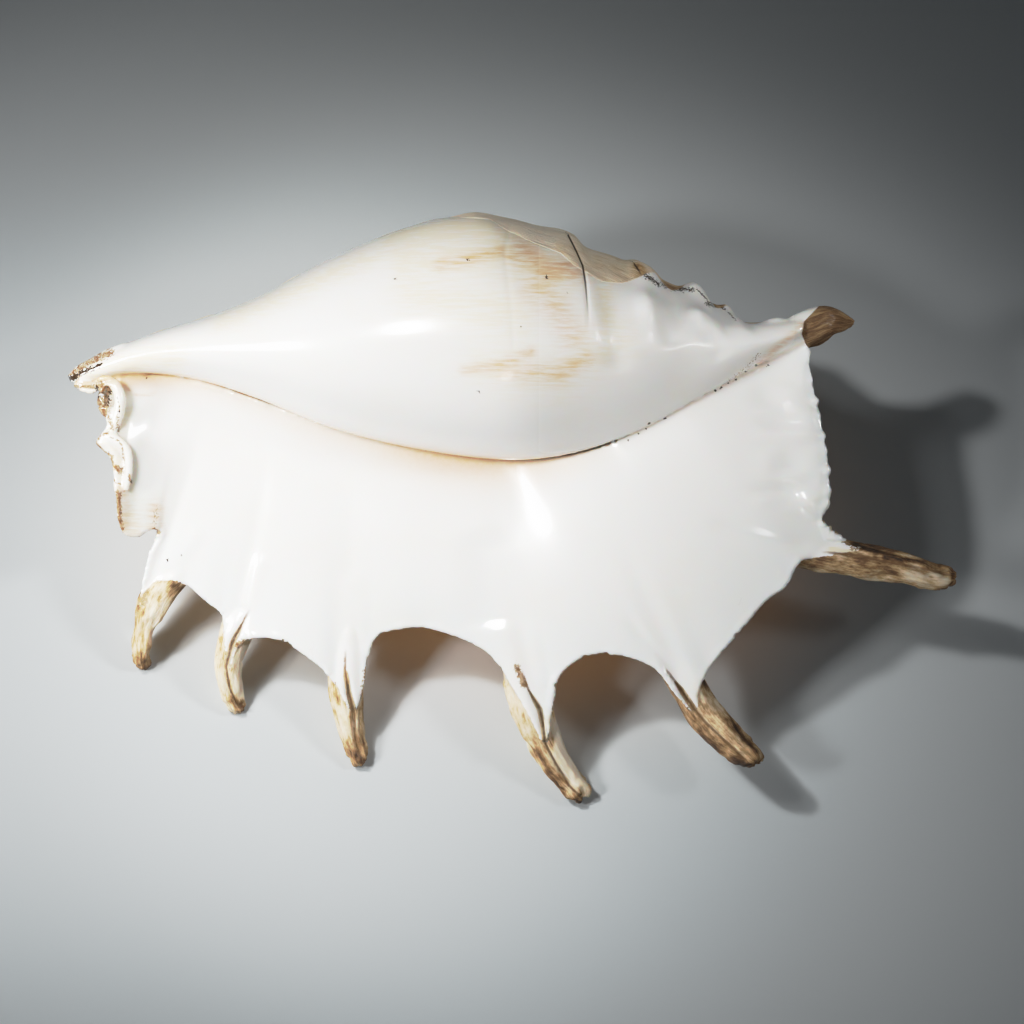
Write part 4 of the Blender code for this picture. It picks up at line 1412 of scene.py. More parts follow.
    def folds(self, skin: SkinMap) -> Array:
        """The ridges and grooves of the mouth side, and the cracks.

        Args:
            skin: The skin's measures.

        Returns:
            The height at each point.
        """
        out = np.zeros(len(skin.points))
        near = np.flatnonzero(skin.normals[:, 2] > self.least_up)
        flat = skin.flat[near]
        for fold in FOLDS:
            gap, place = line_distance(flat, fold.line)
            ends = ease(place, *self.fold_starts) * (1 - ease(place, *self.fold_ends))
            ends = ends if fold.width > self.broad_fold else 1.0
            out[near] += fold.height * ends * bell(gap, fold.width)
        for line in CRACKS:
            gap, place = line_distance(flat, line)
            out[near] -= self.crack_depth * bell(gap, self.crack_width) * (1 - ease(place, *self.crack_ends))
        return out

    def rim(self, skin: SkinMap) -> Array:
        """The raised bead along the lip's edge, with its chips, bumps and the hind margin's scallops.

        Args:
            skin: The skin's measures.

        Returns:
            The height at each point.
        """
        x, y = skin.flat.T
        gap = skin.edge_gap
        lip = np.isin(skin.part, (Part.LIP_INSIDE, Part.LIP_EDGE)) & (skin.reach > self.rim_reach)
        bead = self.edge_bead * bell(gap - self.bead_place, self.bead_width)
        chips = ease(grain(skin.points / self.chip_size, Seed.CHIPS), *self.chip_field)
        chips *= 1 - ease(gap, *self.chip_side)
        bumps = self.bump_height * grain(skin.points / self.bump_size, Seed.BUMPS)
        bumps *= 1 - ease(gap, *self.bump_side)
        hind = ease(x, *self.hind_x) * (y > self.hind_y)
        teeth = grain(stack(y / self.scallop_size, 0.0, 0.0), Seed.SCALLOPS) - self.scallop_level
        bumps += hind * (self.scallop_depth * teeth) * (1 - ease(gap, *self.scallop_side))
        return lip * (bead - self.chip_depth * chips + bumps)

    def whorl(self, skin: SkinMap, glaze: Array) -> Array:
        """The spiral cords, growth lines and wear of the rough outside.

        Args:
            skin: The skin's measures.
            glaze: How far each point lies inside the glaze.

        Returns:
            The height at each point.
        """
        x = skin.points[:, 0]
        bare = (1 - ease(glaze, -1.0, 0.0)) * (skin.part != Part.DIGIT)
        arc = np.radians(skin.turn) * skin.girth
        wander = self.cord_wander * grain(stack(arc / self.cord_wander_size, 0.0, 0.0), Seed.CORDS)
        cords = np.sin(x / self.cord_size + wander)
        lines = grain(stack(x / self.growth_cell[0], arc / self.growth_cell[1], 0.0), Seed.GROWTH)
        wear = grain(skin.points / self.wear_size, Seed.WEAR)
        return bare * (self.cord_height * cords + self.growth_height * lines + self.wear_height * wear)

    def ripples(self, skin: SkinMap, glaze: Array) -> Array:
        """The gentle waves of the glaze, and the closer ones by the hind margin.

        Args:
            skin: The skin's measures.
            glaze: How far each point lies inside the glaze.

        Returns:
            The height at each point.
        """
        x, y = skin.flat.T
        shiny = ease(glaze, 0.0, 2.0) * (skin.normals[:, 2] > self.least_up)
        wave = self.glaze_wave * grain(skin.points / self.wave_size, Seed.WAVES)
        margin = ease(x, *self.ripple_x[0]) * (1 - ease(x, *self.ripple_x[1])) * ease(y, *self.ripple_y[0])
        margin *= 1 - ease(y, *self.ripple_y[1])
        close = grain(stack(x / self.ripple_cell[0], y / self.ripple_cell[1], 0.0), Seed.RIPPLES)
        return shiny * (wave + self.ripple_height * margin * close)

    def apply(self, skin: SkinMap) -> Array:
        """How far each point moves along its normal."""
        glaze = GlazeBorder().read(skin)
        return (
            self.digits(skin, glaze) + self.seams(skin, glaze) + self.folds(skin) + self.rim(skin)
            + self.whorl(skin, glaze) + self.ripples(skin, glaze)
        )


@dataclass(frozen=True)
class ShellSkin:
    """The whole shell as one closed skin, with the measures that its finish follows."""

    grain_size: float = 0.85  # mm, the cells that fuse the pieces
    quick_grain_size: float = 1.3
    most_triangles: int = 194_000
    even_rounds: int = 3
    even_share: float = 0.5
    past_box: float = 0.6  # mm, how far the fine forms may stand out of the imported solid's box

    def unfused(self, pieces: list[bpy.types.Object]) -> tuple[BVHTree, Array]:
        """Keeps the faces as they are before they are fused.

        Args:
            pieces: The closed pieces.

        Returns:
            The faces to search, and the Part of each.
        """
        select_only(*pieces)
        bpy.ops.object.duplicate()
        bpy.ops.object.join()
        copy = bpy.context.view_layer.objects.active
        parts = np.empty(len(copy.data.polygons), np.int32)
        copy.data.attributes["part"].data.foreach_get("value", parts)
        faces = [tuple(face.vertices) for face in copy.data.polygons]
        tree = BVHTree.FromPolygons(read_points(copy.data).tolist(), faces)
        bpy.data.objects.remove(copy, do_unlink=True)
        return tree, parts

    def fuse(self, pieces: list[bpy.types.Object]) -> bpy.types.Object:
        """Joins the pieces and fuses them into one skin.

        Args:
            pieces: The closed pieces, the whorl first.

        Returns:
            The fused object.
        """
        select_only(*pieces)
        bpy.ops.object.join()
        skin = bpy.context.view_layer.objects.active
        skin.name = "shell_skin"
        remesh = skin.modifiers.new("fuse", "REMESH")
        remesh.mode = "VOXEL"
        remesh.voxel_size = self.grain_size * MM
        bpy.ops.object.modifier_apply(modifier=remesh.name)
        even = skin.modifiers.new("even", "SMOOTH")
        even.factor = self.even_share
        even.iterations = self.even_rounds
        bpy.ops.object.modifier_apply(modifier=even.name)
        return skin

    def carve(self, skin: bpy.types.Object, places: SkinMap, relief: SurfaceRelief) -> None:
        """Moves the points along their normals by the relief, then wears the resting spots flat."""
        places.read(skin.data)
        moved = places.points + places.normals * relief.apply(places)[:, None]
        write_points(skin.data, self.wear(to_room(moved)) * MM)

    def wear(self, points: Array) -> Array:
        """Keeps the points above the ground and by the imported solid's box."""
        low = np.array(CAD_BOX[0]) / MM
        high = np.array(CAD_BOX[1]) / MM
        low[2] = 0.0
        return np.clip(points, low - (self.past_box, self.past_box, 0.0), high + self.past_box)

    def thin(self, skin: bpy.types.Object, kept: Array) -> None:
        """Takes triangles out where the skin is smooth.

        Args:
            skin: The fused object.
            kept: Which of its points stay, since a fine mark lies there.
        """
        select_only(skin)
        plain = skin.vertex_groups.new(name="plain")
        plain.add(np.flatnonzero(~kept).tolist(), 1.0, "REPLACE")
        fewer = skin.modifiers.new("fewer", "DECIMATE")
        fewer.vertex_group = plain.name
        fewer.ratio = min(1.0, self.most_triangles / (2.0 * len(skin.data.polygons)))
        bpy.ops.object.modifier_apply(modifier=fewer.name)
        skin.vertex_groups.clear()
        bpy.ops.object.shade_smooth()

    def build(self, relief: SurfaceRelief) -> bpy.types.Object:
        """Makes the finished skin with its painting measures."""
        sheet = WhorlAndLip()
        tubes = DigitTubes()
        pieces = [sheet.build()] + [tubes.build(digit) for digit in DIGITS]
        pieces += [tubes.build(roll, Part.LIP_INSIDE) for roll in ROLLS]
        tree, parts = self.unfused(pieces)
        skin = self.fuse(pieces)
        places = SkinMap(tree, parts, tubes, sheet.dense_edge())
        self.carve(skin, places, relief)
        self.thin(skin, Painting(places).fine_marks())
        places.read(skin.data)
        Painting(places).write(skin.data)
        LOG.info("shell skin: %d triangles", len(skin.data.polygons))
        return skin


@dataclass(frozen=True)
class Painting:
    """Measures kept on the finished skin's points, which the finish turns into colours. In mm."""

    skin: SkinMap
    digit_reach: float = 1.5  # radii from a digit's axis
    digit_outline: float = 1.0  # how far inside the lip's outline a digit's growth still shows
    digit_apart: Span = (31.0, 40.0)  # how far each digit's flow lies from the next, and from the whorl's
    tint_up: float = -0.45  # the least z of a normal that a mark is painted on
    fine_up: float = -0.2
    crack_up: float = -0.3
    fine_width: float = 1.0  # marks below this width need small triangles
    fine_crack: float = 0.4
    fine_side: Span = (1.4, 0.5)  # kept beside a mark: in half widths, and in mm
    whorl_pale: Span = (0.66, 0.10)  # how pale the whorl is, and how much it varies
    pale_size: float = 26.0
    outside_pale: float = 0.44
    tip_dark: float = 0.12
    tip_start: float = 0.6  # of the digit's length
    whorl_mottle: float = 0.4  # the digits' is 1
    # The band of painted warm shade under the mouth's edge.
    shade_band_power: float = 1.5
    shade_band_side: Span = (-1.2, 0.2)
    mouth_turn: float = 150.0  # degrees round the whorl
    satin_x: tuple[Span, Span] = ((0.0, 28.0), (96.0, 104.0))  # where it starts and ends
    satin_side: Span = (0.0, 3.0)
    most_crack: float = 20.0
    crack_side: Span = (2.5, 4.0)
    crack_ends: Span = (0.35, 0.95)  # of its length

    def flow(self) -> Array:
        """Places along the growth of each part: round it, along it, and which part."""
        skin = self.skin
        tube = (skin.reach < self.digit_reach) & (skin.outline_gap < self.digit_outline)
        tube = ((skin.part == Part.DIGIT) | tube) & (skin.digit >= 0)
        whorl = stack(np.radians(skin.turn) * skin.girth, skin.points[:, 0], 0.0)
        apart, first = self.digit_apart
        digit = stack(skin.around * DIGIT_RADIUS, skin.along, skin.digit * apart + first)
        return np.where(tube[:, None], digit, whorl)

    def tints(self) -> dict[str, Array]:
        """How strongly each tint's marks lie on each point of the mouth side.

        Returns:
            The strength at each point, by the tint's name.
        """
        skin = self.skin
        near = np.flatnonzero(skin.normals[:, 2] > self.tint_up)
        flat = skin.flat[near]
        found = {tint.value: np.zeros(len(skin.points)) for tint in Tint}
        for tint, marks in MARKS.items():
            strength = found[tint.value]
            for mark in marks:
                gap, _ = line_distance(flat, mark.line)
                strength[near] = np.maximum(strength[near], mark.strength * bell(gap, mark.width))
        return found

    def fine_marks(self) -> Array:
        """Which points lie on or by a mark too fine for large triangles.

        Returns:
            True for each such point.
        """
        skin = self.skin
        near = np.flatnonzero(skin.normals[:, 2] > self.fine_up)
        flat = skin.flat[near]
        marks = [(mark.line, mark.width) for marks in MARKS.values() for mark in marks]
        lines = [(line, width) for line, width in marks if width < self.fine_width]
        lines += [(line, self.fine_crack) for line in CRACKS]
        kept = np.zeros(len(skin.points), bool)
        widths, past = self.fine_side
        for line, width in lines:
            gap, _ = line_distance(flat, line)
            kept[near] |= np.abs(gap) < widths * width + past
        return kept

    def patina(self) -> Array:
        """How pale the rough skin is: dark on the hind digit, paler on the whorl than on the others."""
        skin = self.skin
        digit = (skin.digit >= 0) & (skin.reach < self.digit_reach)
        pale = np.array([digit.pale for digit in DIGITS])
        level, varies = self.whorl_pale
        out = level + varies * grain(skin.points / self.pale_size, Seed.PATINA)
        out[skin.part == Part.LIP_OUTSIDE] = self.outside_pale
        out = np.where(digit, pale[skin.digit], out)
        tips = ease(skin.along / skin.length, self.tip_start, 1.0) * (skin.digit > 0) * digit
        return out - self.tip_dark * tips

    def mottle(self) -> Array:
        """How much the rough skin's colour varies: most on the digits."""
        digit = (self.skin.digit > 0) & (self.skin.reach < self.digit_reach)
        return np.where(digit, 1.0, self.whorl_mottle)

    def stain(self) -> Array:
        """The mouth's own orange inside, and a warm band of painted shade under the edge of the mouth, where
        the whorl overhangs the lip.
        """
        skin = self.skin
        x, y = skin.flat.T
        below = mouth_edge(x) - y
        reach = np.interp(x, *zip(*MOUTH_SHADE_BAND))
        # Painted shade: warm and strongest just under the whorl's edge, fading down the lip; the hollow
        # itself keeps its own orange.
        band = np.exp(-(np.maximum(below / reach, 0.0) ** self.shade_band_power)) * ease(below, *self.shade_band_side)
        inside = np.isin(skin.part, (Part.LIP_INSIDE, Part.HOLLOW))
        band = np.where(inside & (below < 0.0), 1.0, band)
        mouth = inside | (skin.turn > self.mouth_turn)
        return np.clip(band * mouth * np.interp(x, *zip(*MOUTH_COLOUR_AND_SHADE)), 0.0, 1.0)

    def satin(self) -> Array:
        """Where the glaze is dull instead of glossy: on the spire."""
        x, y = self.skin.flat.T
        starts, ends = self.satin_x
        return ease(x, *starts) * (1 - ease(x, *ends)) * ease(y - mouth_edge(x), *self.satin_side)

    def crack(self) -> tuple[Array, Array]:
        """How each point lies by its nearest crack.

        Returns:
            The signed distance from the crack, and how strong it is there.
        """
        skin = self.skin
        gap = np.full(len(skin.points), self.most_crack)
        strength = np.zeros(len(skin.points))
        front = skin.normals[:, 2] > self.crack_up
        for line in CRACKS:
            distance, place = line_distance(skin.flat, line)
            nearer = np.abs(distance) < np.abs(gap)
            gap[nearer] = distance[nearer]
            fade = 1 - ease(np.abs(distance), *self.crack_side)
            strength = np.maximum(strength, fade * (1 - ease(place, *self.crack_ends)) * front)
        return np.clip(gap, -self.most_crack, self.most_crack), strength

    def write(self, mesh: bpy.types.Mesh) -> None:
        """Stores every measure as an attribute of the mesh's points."""
        gap, strength = self.crack()
        values = {
            "glaze": GlazeBorder().read(self.skin),
            "patina": self.patina(),
            "mottle": self.mottle(),
            "stain": self.stain(),
            "satin": self.satin(),
            "crack": gap,
            "crack_strength": strength,
            "seam": self.skin.seam()[0],
            "seam_place": self.skin.seam()[1],
            **self.tints(),
        }
        for name, value in values.items():
            made = mesh.attributes.new(name, "FLOAT", "POINT")
            made.data.foreach_set("value", value.astype(np.float32))
        made = mesh.attributes.new("flow", "FLOAT_VECTOR", "POINT")
        made.data.foreach_set("vector", self.flow().astype(np.float32).ravel())


class Wire:
    """A node's output, whose sums and products are made of Math nodes."""

    def __init__(self, graph: "Graph", socket: bpy.types.NodeSocket) -> None:
        """Keeps the socket and the graph that its sums go to."""
        self.graph = graph
        self.socket = socket

    def __add__(self, other: "Wire | float") -> "Wire":
        """This plus other."""
        return self.graph.math("ADD", self, other)

    def __radd__(self, other: float) -> "Wire":
        """Other plus this."""
        return self.graph.math("ADD", other, self)

    def __sub__(self, other: "Wire | float") -> "Wire":
        """This minus other."""
        return self.graph.math("SUBTRACT", self, other)

    def __rsub__(self, other: float) -> "Wire":
        """Other minus this."""
        return self.graph.math("SUBTRACT", other, self)

    def __mul__(self, other: "Wire | float") -> "Wire":
        """This times other."""
        return self.graph.math("MULTIPLY", self, other)

    def __rmul__(self, other: float) -> "Wire":
        """Other times this."""
        return self.graph.math("MULTIPLY", other, self)

    def __abs__(self) -> "Wire":
        """This without its sign."""
        return self.graph.math("ABSOLUTE", self)

    def rise(self, low: float, high: float) -> "Wire":
        """0 where this is low, 1 where it is high, and smooth between."""
        made = self.graph.node(
            "ShaderNodeMapRange",
            {"interpolation_type": "SMOOTHSTEP"},
            {"Value": self, "From Min": low, "From Max": high},
        )
        return Wire(self.graph, made.outputs["Result"])


class Graph:
    """The nodes of one material."""

    def __init__(self, name: str) -> None:
        """Starts an empty material of this name."""
        self.material = bpy.data.materials.new(name)
        self.material.use_nodes = True
        self.tree = self.material.node_tree
        self.tree.nodes.clear()

    def node(self, kind: str, settings: dict | None = None, inputs: dict | None = None) -> bpy.types.Node:
        """Adds one node.

        Args:
            kind: The node's type.
            settings: Its properties, and "stops" for a ramp's (place, colour) pairs.
            inputs: Its sockets by name or number, as values or wires.

        Returns:
            The new node.
        """
        made = self.tree.nodes.new(kind)
        for name, value in (settings or {}).items():
            if name == "stops":
                self.set_stops(made.color_ramp, value)
            else:
                setattr(made, name, value)
        for key, value in (inputs or {}).items():
            if isinstance(value, Wire):
                self.tree.links.new(value.socket, made.inputs[key])
            else:
                made.inputs[key].default_value = value
        return made

    def set_stops(self, ramp: bpy.types.ColorRamp, stops: Iterable[tuple[float, Colour]]) -> None:
        """Gives a ramp these stops and no others."""
        while len(ramp.elements) > 1:
            ramp.elements.remove(ramp.elements[-1])
        for index, (place, colour) in enumerate(stops):
            element = ramp.elements[0] if index == 0 else ramp.elements.new(place)
            element.position = place
            element.color = colour

    def math(self, operation: str, *values: "Wire | float") -> Wire:
        """One Math node on wires and numbers."""
        made = self.node("ShaderNodeMath", {"operation": operation}, dict(enumerate(values)))
        return Wire(self, made.outputs["Value"])

    def mix(self, factor: "Wire | float", low: "Wire | Colour", high: "Wire | Colour") -> Wire:
        """Colour low where the factor is 0 and high where it is 1."""
        made = self.node("ShaderNodeMix", {"data_type": "RGBA"}, {0: factor, 6: low, 7: high})
        return Wire(self, made.outputs[2])

    def blend(self, factor: "Wire | float", low: "Wire | float", high: "Wire | float") -> Wire:
        """Number low where the factor is 0 and high where it is 1."""
        made = self.node("ShaderNodeMix", {"data_type": "FLOAT"}, {0: factor, 2: low, 3: high})
        return Wire(self, made.outputs[0])

    def attribute(self, name: str, output: str = "Fac") -> Wire:
        """A measure kept on the mesh's points."""
        made = self.node("ShaderNodeAttribute", {"attribute_name": name})
        return Wire(self, made.outputs[output])

    def place(self, source: Wire, lengths: Triple) -> Wire:
        """Coordinates with each axis divided by a length in mm."""
        scale = tuple(1 / length for length in lengths)
        made = self.node("ShaderNodeMapping", {}, {"Vector": source, "Scale": scale})
        return Wire(self, made.outputs["Vector"])

    def shell_millimetres(self) -> Wire:
        """The place on the shell in its own frame, in mm."""
        turned = {"Vector": self.room_metres(), "Rotation": (-LEAN, 0.0, 0.0), "Scale": (1 / MM,) * 3}
        return Wire(self, self.node("ShaderNodeMapping", {}, turned).outputs["Vector"])

    def room_metres(self) -> Wire:
        """The place on the object, in metres."""
        return Wire(self, self.node("ShaderNodeTexCoord").outputs["Object"])

    def noise(self, place: Wire, detail: float = 3.0, roughness: float = 0.55) -> Wire:
        """Cloudy noise from 0 to 1, one cloud to a unit."""
        inputs = {"Vector": place, "Scale": 1.0, "Detail": detail, "Roughness": roughness}
        return Wire(self, self.node("ShaderNodeTexNoise", {}, inputs).outputs["Fac"])

    def ramp(self, value: Wire, stops: Iterable[tuple[float, Colour]]) -> Wire:
        """A colour read off a ramp."""
        made = self.node("ShaderNodeValToRGB", {"stops": stops}, {"Fac": value})
        return Wire(self, made.outputs["Color"])

    def bump(self, height: Wire) -> Wire:
        """A bump of a height in mm."""
        inputs = {"Height": height, "Distance": MM, "Strength": 1.0}
        return Wire(self, self.node("ShaderNodeBump", {}, inputs).outputs["Normal"])

    def finish(self, settings: dict, inputs: dict) -> bpy.types.Material:
        """Ends the graph in a surface shader with these sockets."""
        surface = self.node("ShaderNodeBsdfPrincipled", settings, inputs)
        output = self.node("ShaderNodeOutputMaterial")
        self.tree.links.new(surface.outputs["BSDF"], output.inputs["Surface"])
        return self.material


@dataclass(frozen=True)
class ShellFinish:
    """White glaze over rough tan and brown lime."""

    white: Colour = (0.90, 0.885, 0.85, 1.0)
    ivory: Colour = (0.86, 0.78, 0.62, 1.0)
    # Also the colour of the painted warm shade under the mouth's edge and along the fold at the spire's end.
    orange: Colour = (0.64, 0.36, 0.14, 1.0)
    dark: Colour = (0.05, 0.028, 0.015, 1.0)
    brown: Colour = (0.20, 0.105, 0.045, 1.0)
    tan: Colour = (0.50, 0.33, 0.16, 1.0)
    stone: Colour = (0.45, 0.34, 0.22, 1.0)
    cream: Colour = (0.76, 0.61, 0.41, 1.0)
    pale: Colour = (0.84, 0.74, 0.58, 1.0)
    glaze_roughness: float = 0.22
    rough_roughness: float = 0.62
    coat_roughness: float = 0.07
    see_through: float = 0.5  # how much of the light passes into the lime
    see_radius: Triple = (4.5, 2.8, 1.8)  # mm, how far red, green and blue go
    tones: Triple = (0.22, 0.42, 0.60)  # where brown, tan and cream lie between dark at 0 and pale
    pale_tone: float = 0.85
    fibre_size: Triple = (0.6, 7.0, 1.0)  # mm round a part and along it
    fibre_share: Span = (1.1, -0.5)  # of the tone, and what mottled skin adds to it
    blotch_size: Triple = (2.8, 6.5, 1.0)
    blotch_share: float = 1.25
    patch_size: Triple = (8.0, 13.0, 1.0)
    patch_share: float = 0.65
    mark_shares: Triple = (0.22, -0.34, -0.5)  # what cream, brown and dark marks add to the tone
    cloud_size: Triple = (34.0, 20.0, 34.0)
    cloud_share: float = 0.2
    wisp_size: Triple = (12.0, 1.0, 4.0)
    ragged_size: Triple = (1.6, 1.6, 1.6)
    fine_size: Triple = (0.8, 0.8, 0.8)
    spot_rag: float = 1.5  # how ragged the spots' borders are
    glaze_rag: float = 0.5  # mm
    seam_rag: float = 0.8  # mm
    crack_side: Span = (0.15, 0.5)  # mm
    seam_side: Span = (0.15, 0.75)  # mm
    lime_size: Triple = (0.55, 4.0, 1.0)
    lime_relief: float = 0.8  # mm
    glaze_relief: float = 0.02  # mm
    lime_coat: float = 0.02
    glaze_coat: float = 0.8
    satin_coat_loss: float = 0.7
    satin_roughness: float = 0.2  # more than the glossy glaze's

    def rough_colour(self, graph: Graph, flow: Wire, fine: Wire) -> Wire:
        """Cream lime with tan and brown blotches and fine fibres along the growth.

        Args:
            graph: The material's nodes.
            flow: The places along the growth.
            fine: The fine noise.

        Returns:
            The colour.
        """
        fibre = graph.noise(graph.place(flow, self.fibre_size), 5.0, 0.6)
        blotch = graph.noise(graph.place(flow, self.blotch_size), 5.0, 0.65)
        patch = graph.noise(graph.place(flow, self.patch_size))
        mottle = graph.attribute("mottle")
        share, more = self.fibre_share
        cream, brown, dark = self.mark_shares
        tone = graph.attribute("patina") + (blotch - 0.5) * mottle * self.blotch_share
        tone = tone + (patch - 0.5) * mottle * self.patch_share
        tone = tone + (fibre - 0.5) * (share + more * mottle)
        tone = tone + cream * graph.attribute("cream") + brown * graph.attribute("brown")
        tone = tone + (dark * graph.attribute("dark")) * (0.5 + fine)
        places = (0.0, *self.tones, self.pale_tone)
        return graph.ramp(tone, zip(places, (self.dark, self.brown, self.tan, self.cream, self.pale)))

    def spots(self, graph: Graph, tint: Tint, low: float, fine: Wire) -> Wire:
        """Where a tint's spots lie on the glaze, with ragged borders."""
        strength = graph.attribute(tint.value)
        return (strength + (fine - 0.5) * self.spot_rag).rise(low, 0.62) * strength.rise(0.05, 0.2)

    def glaze_colour(self, graph: Graph, place: Wire, ragged: Wire, fine: Wire) -> Wire:
        """White glaze with cream clouds, streaks and spots, the mouth's orange, and the painted warm shade
        under the mouth's edge.

        Args:
            graph: The material's nodes.
            place: The place on the shell in mm.
            ragged: The coarse noise.
            fine: The fine noise.

        Returns:
            The colour.
        """
        clouds = graph.noise(graph.place(place, self.cloud_size)).rise(0.45, 0.75)
        wisps = graph.noise(graph.place(place, self.wisp_size), 5.0, 0.65).rise(0.32, 0.68)
        uneven = 0.35 + 1.3 * wisps
        colour = graph.mix(clouds * self.cloud_share, self.white, self.ivory)
        colour = graph.mix(graph.attribute("cream") * uneven, colour, self.ivory)
        colour = graph.mix(graph.attribute("orange") * uneven, colour, self.orange)
        # The mouth's orange inside, and the painted warm shade under its edge.
        colour = graph.mix(graph.attribute("stain") * (0.8 + 0.4 * ragged), colour, self.orange)
        spot_colour = graph.mix(ragged.rise(0.4, 0.62), self.brown, self.stone)
        colour = graph.mix(self.spots(graph, Tint.BROWN, 0.38, fine), colour, spot_colour)
        return graph.mix(self.spots(graph, Tint.DARK, 0.42, fine), colour, self.dark)

    def lines(self, graph: Graph, ragged: Wire) -> tuple[Wire, Wire]:
        """Where the cracks and the digits' seams lie."""
        crack = 1 - abs(graph.attribute("crack")).rise(*self.crack_side)
        seam = 1 - abs(graph.attribute("seam") + (ragged - 0.5) * self.seam_rag).rise(*self.seam_side)
        seam = seam * graph.attribute("seam_place").rise(0.0, 0.12) * (0.35 + 0.9 * ragged)
        return crack * graph.attribute("crack_strength"), seam

    def build(self) -> bpy.types.Material:
        """The material, which reads the measures kept on the skin."""
        graph = Graph("shell_glaze_and_lime")
        place = graph.shell_millimetres()
        flow = graph.attribute("flow", "Vector")
        ragged = graph.noise(graph.place(place, self.ragged_size), 4.0, 0.6)
        fine = graph.noise(graph.place(place, self.fine_size), 3.0, 0.6)
        glaze = (graph.attribute("glaze") + (ragged - 0.5) * self.glaze_rag).rise(-0.2, 0.2)
        rough = self.rough_colour(graph, flow, fine)
        colour = graph.mix(glaze, rough, self.glaze_colour(graph, place, ragged, fine))
        crack, seam = self.lines(graph, ragged)
        colour = graph.mix(seam, graph.mix(crack, colour, self.dark), self.brown)
        satin = graph.attribute("satin")
        dullness = self.glaze_roughness + self.satin_roughness * satin
        fibre = graph.noise(graph.place(flow, self.lime_size), 4.0, 0.65)
        height = graph.blend(glaze, fibre * self.lime_relief, ragged * self.glaze_relief)
        return graph.finish(
            {"distribution": "MULTI_GGX"},
            {
                "Subsurface Weight": self.see_through,
                "Subsurface Radius": self.see_radius,
                "Subsurface Scale": MM,
                "Base Color": colour,
                "Roughness": graph.blend(glaze, self.rough_roughness, dullness),
                "Coat Weight": graph.blend(
                    glaze, self.lime_coat, self.glaze_coat - self.satin_coat_loss * satin
                ),
                "Coat Roughness": self.coat_roughness,
                "Normal": graph.bump(height),
            },
        )


@dataclass(frozen=True)
class FloorFinish:
    """Pale, cool, matt studio paper."""

    colour: Colour = (0.74, 0.785, 0.80, 1.0)
    roughness: float = 0.75
    cloud_size: Triple = (0.12, 0.12, 0.12)  # metres
    cloud_shade: float = 0.96

    def build(self) -> bpy.types.Material:
        """The material, barely clouded."""
        graph = Graph("studio_paper")
        clouds = graph.noise(graph.place(graph.room_metres(), self.cloud_size))
        darker = tuple(self.cloud_shade * value for value in self.colour[:3]) + (1.0,)
        return graph.finish(
            {}, {"Base Color": graph.mix(clouds, darker, self.colour), "Roughness": self.roughness}
        )


@dataclass(frozen=True)
class Lamp:
    """A round soft lamp: its place and aim in metres, watts, width, beam in degrees and what it lights."""

    name: str
    place: Triple
    target: Triple
    power: float
    width: float
    beam: float
    lights: Lit
    through: bool = False  # its light passes through the shell
    tint: Triple = (1.0, 1.0, 1.0)

    def hang(self) -> bpy.types.Object:
        """Hangs the lamp and turns it to its target."""
        bpy.ops.object.light_add(type="SPOT")
        lamp = bpy.context.object
        lamp.name = self.name
        lamp.data.energy = self.power
        lamp.data.color = self.tint
        lamp.data.spot_size = math.radians(self.beam)
        lamp.data.spot_blend = 1.0
        lamp.data.shadow_soft_size = self.width / 2
        lamp.location = self.place
        ahead = np.array(self.target) - np.array(self.place)
        tilt = math.atan2(math.hypot(ahead[0], ahead[1]), -ahead[2])
        lamp.rotation_euler = (tilt, 0.0, math.atan2(ahead[1], ahead[0]) - math.pi / 2)
        return lamp

    def light_only(self, lamp: bpy.types.Object, lit: bpy.types.Object) -> None:
        """Keeps the lamp's light to this object."""
        chosen = bpy.data.collections.new(self.name + "_lights")
        chosen.objects.link(lit)
        lamp.light_linking.receiver_collection = chosen
        if self.through:
            lamp.light_linking.blocker_collection = chosen


def glow_lamp(name: str, x: float, y: float, power: float, beam: float) -> Lamp:
    """A lamp square over the floor, for the warm light that comes through the lip."""
    place, target = (x, y, 0.5), (x, y, 0.0)
    return Lamp(name, place, target, power, 0.05, beam, Lit.FLOOR, through=True, tint=(1.0, 0.40, 0.08))


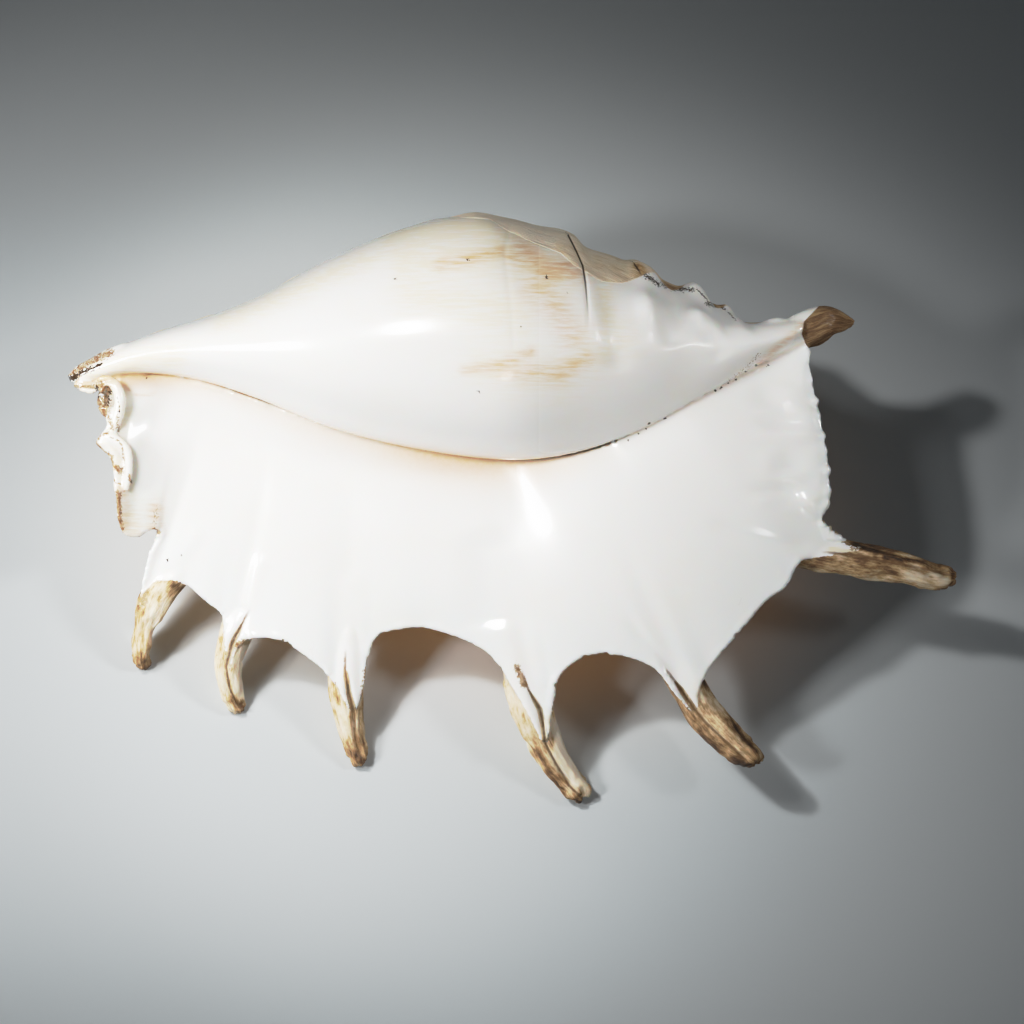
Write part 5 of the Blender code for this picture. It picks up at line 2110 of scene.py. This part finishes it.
@dataclass(frozen=True)
class Studio:
    """The floor, the lamps and the camera over the shell. In metres."""

    floor_size: float = 6.0
    camera_distance: float = 2.3
    frame_width: float = 0.36864  # the width of the picture at the shell
    sensor_width: float = 36.0  # millimetres
    clip_end: float = 20.0
    lamps: tuple[Lamp, ...] = (
        Lamp("floor_key", (-0.371, 0.221, 0.553), (0.022, -0.030, 0.0), 7.2, 0.056, 34.9, Lit.FLOOR),
        Lamp("floor_soft", (-0.50, 0.27, 0.78), (-0.072, -0.107, 0.0), 12.8, 0.30, 27.0, Lit.FLOOR),
        Lamp("floor_left", (-0.80, -0.10, 0.62), (-0.166, -0.010, 0.0), 36.0, 0.30, 23.4, Lit.FLOOR),
        Lamp("floor_right", (0.75, 0.12, 0.70), (-0.165, -0.075, 0.0), 14.5, 0.20, 17.5, Lit.FLOOR),
        glow_lamp("glow_left", -0.105, -0.005, 0.9, 14.0),
        glow_lamp("glow_middle", -0.025, -0.010, 1.3, 18.5),
        glow_lamp("glow_right", 0.040, -0.005, 1.0, 18.5),
        Lamp("shell_soft", (-0.43, 0.0, 0.99), (-0.160, 0.018, 0.0), 52.0, 0.20, 31.0, Lit.SHELL),
        Lamp("shell_low", (0.10, -0.75, 0.70), (0.062, 0.053, 0.050), 15.5, 0.45, 11.5, Lit.SHELL),
        Lamp("shell_right", (0.75, 0.12, 0.70), (-0.049, 0.121, 0.0), 13.0, 0.16, 35.0, Lit.SHELL),
        Lamp("shell_left", (-0.80, -0.10, 0.62), (0.10, 0.004, 0.0), 34.0, 0.30, 126.0, Lit.SHELL),
    )
    room_light: Colour = (0.040, 0.0425, 0.045, 1.0)
    white_level: float = 3.0
    tone_curve: Line = ((0.0, 0.0), (0.08, 0.235), (0.25, 0.70), (0.5, 0.90), (1.0, 0.985))

    def lay_floor(self) -> bpy.types.Object:
        """Lays the floor under the shell."""
        bpy.ops.object.select_all(action="DESELECT")
        bpy.ops.mesh.primitive_plane_add(size=self.floor_size)
        floor = bpy.context.object
        floor.name = "floor"
        floor.data.materials.append(FloorFinish().build())
        return floor

    def hang_lamps(self, floor: bpy.types.Object, skin: bpy.types.Object) -> None:
        """Hangs the lamps and the room's even light.

        Args:
            floor: The floor.
            skin: The finished shell.
        """
        lit = {Lit.FLOOR: floor, Lit.SHELL: skin}
        for lamp in self.lamps:
            lamp.light_only(lamp.hang(), lit[lamp.lights])
        world = bpy.data.worlds.new("room")
        world.use_nodes = True
        world.node_tree.nodes["Background"].inputs["Color"].default_value = self.room_light
        bpy.context.scene.world = world

    def set_camera(self) -> None:
        """Sets the camera square over the mouth, as the photographer did."""
        bpy.ops.object.camera_add()
        camera = bpy.context.object
        camera.name = "camera"
        camera.data.sensor_width = self.sensor_width
        camera.data.lens = self.sensor_width * self.camera_distance / self.frame_width
        camera.location = to_room(np.array([[0.0, 0.0, self.camera_distance / MM]]))[0] * MM
        camera.rotation_euler = (LEAN, 0.0, 0.0)
        camera.data.clip_end = self.clip_end
        bpy.context.scene.camera = camera

    def expose(self) -> None:
        """Rolls the brightest tones off softly, as the photograph does."""
        view = bpy.context.scene.view_settings
        view.view_transform = "Standard"
        view.use_curve_mapping = True
        mapping = view.curve_mapping
        mapping.white_level = (self.white_level,) * 3
        curve = mapping.curves[3]
        for place, level in self.tone_curve[1:-1]:
            curve.points.new(place, level)
        curve.points[-1].location = self.tone_curve[-1]
        mapping.update()

    def build(self, skin: bpy.types.Object) -> None:
        """Sets up the whole studio round the finished shell."""
        self.set_camera()
        self.expose()
        self.hang_lamps(self.lay_floor(), skin)
        LOG.info("studio: camera %.2f m away", self.camera_distance)


def main() -> None:
    """Builds the studio and the shell's skin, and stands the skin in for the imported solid."""
    logging.basicConfig(level=logging.INFO, format="%(name)s: %(message)s")
    skin = ShellSkin().build(SurfaceRelief())
    skin.data.materials.clear()
    skin.data.materials.append(ShellFinish().build())
    Studio().build(skin)
    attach(skin, "root")
    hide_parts("shell")


if __name__ == "__main__":
    main()
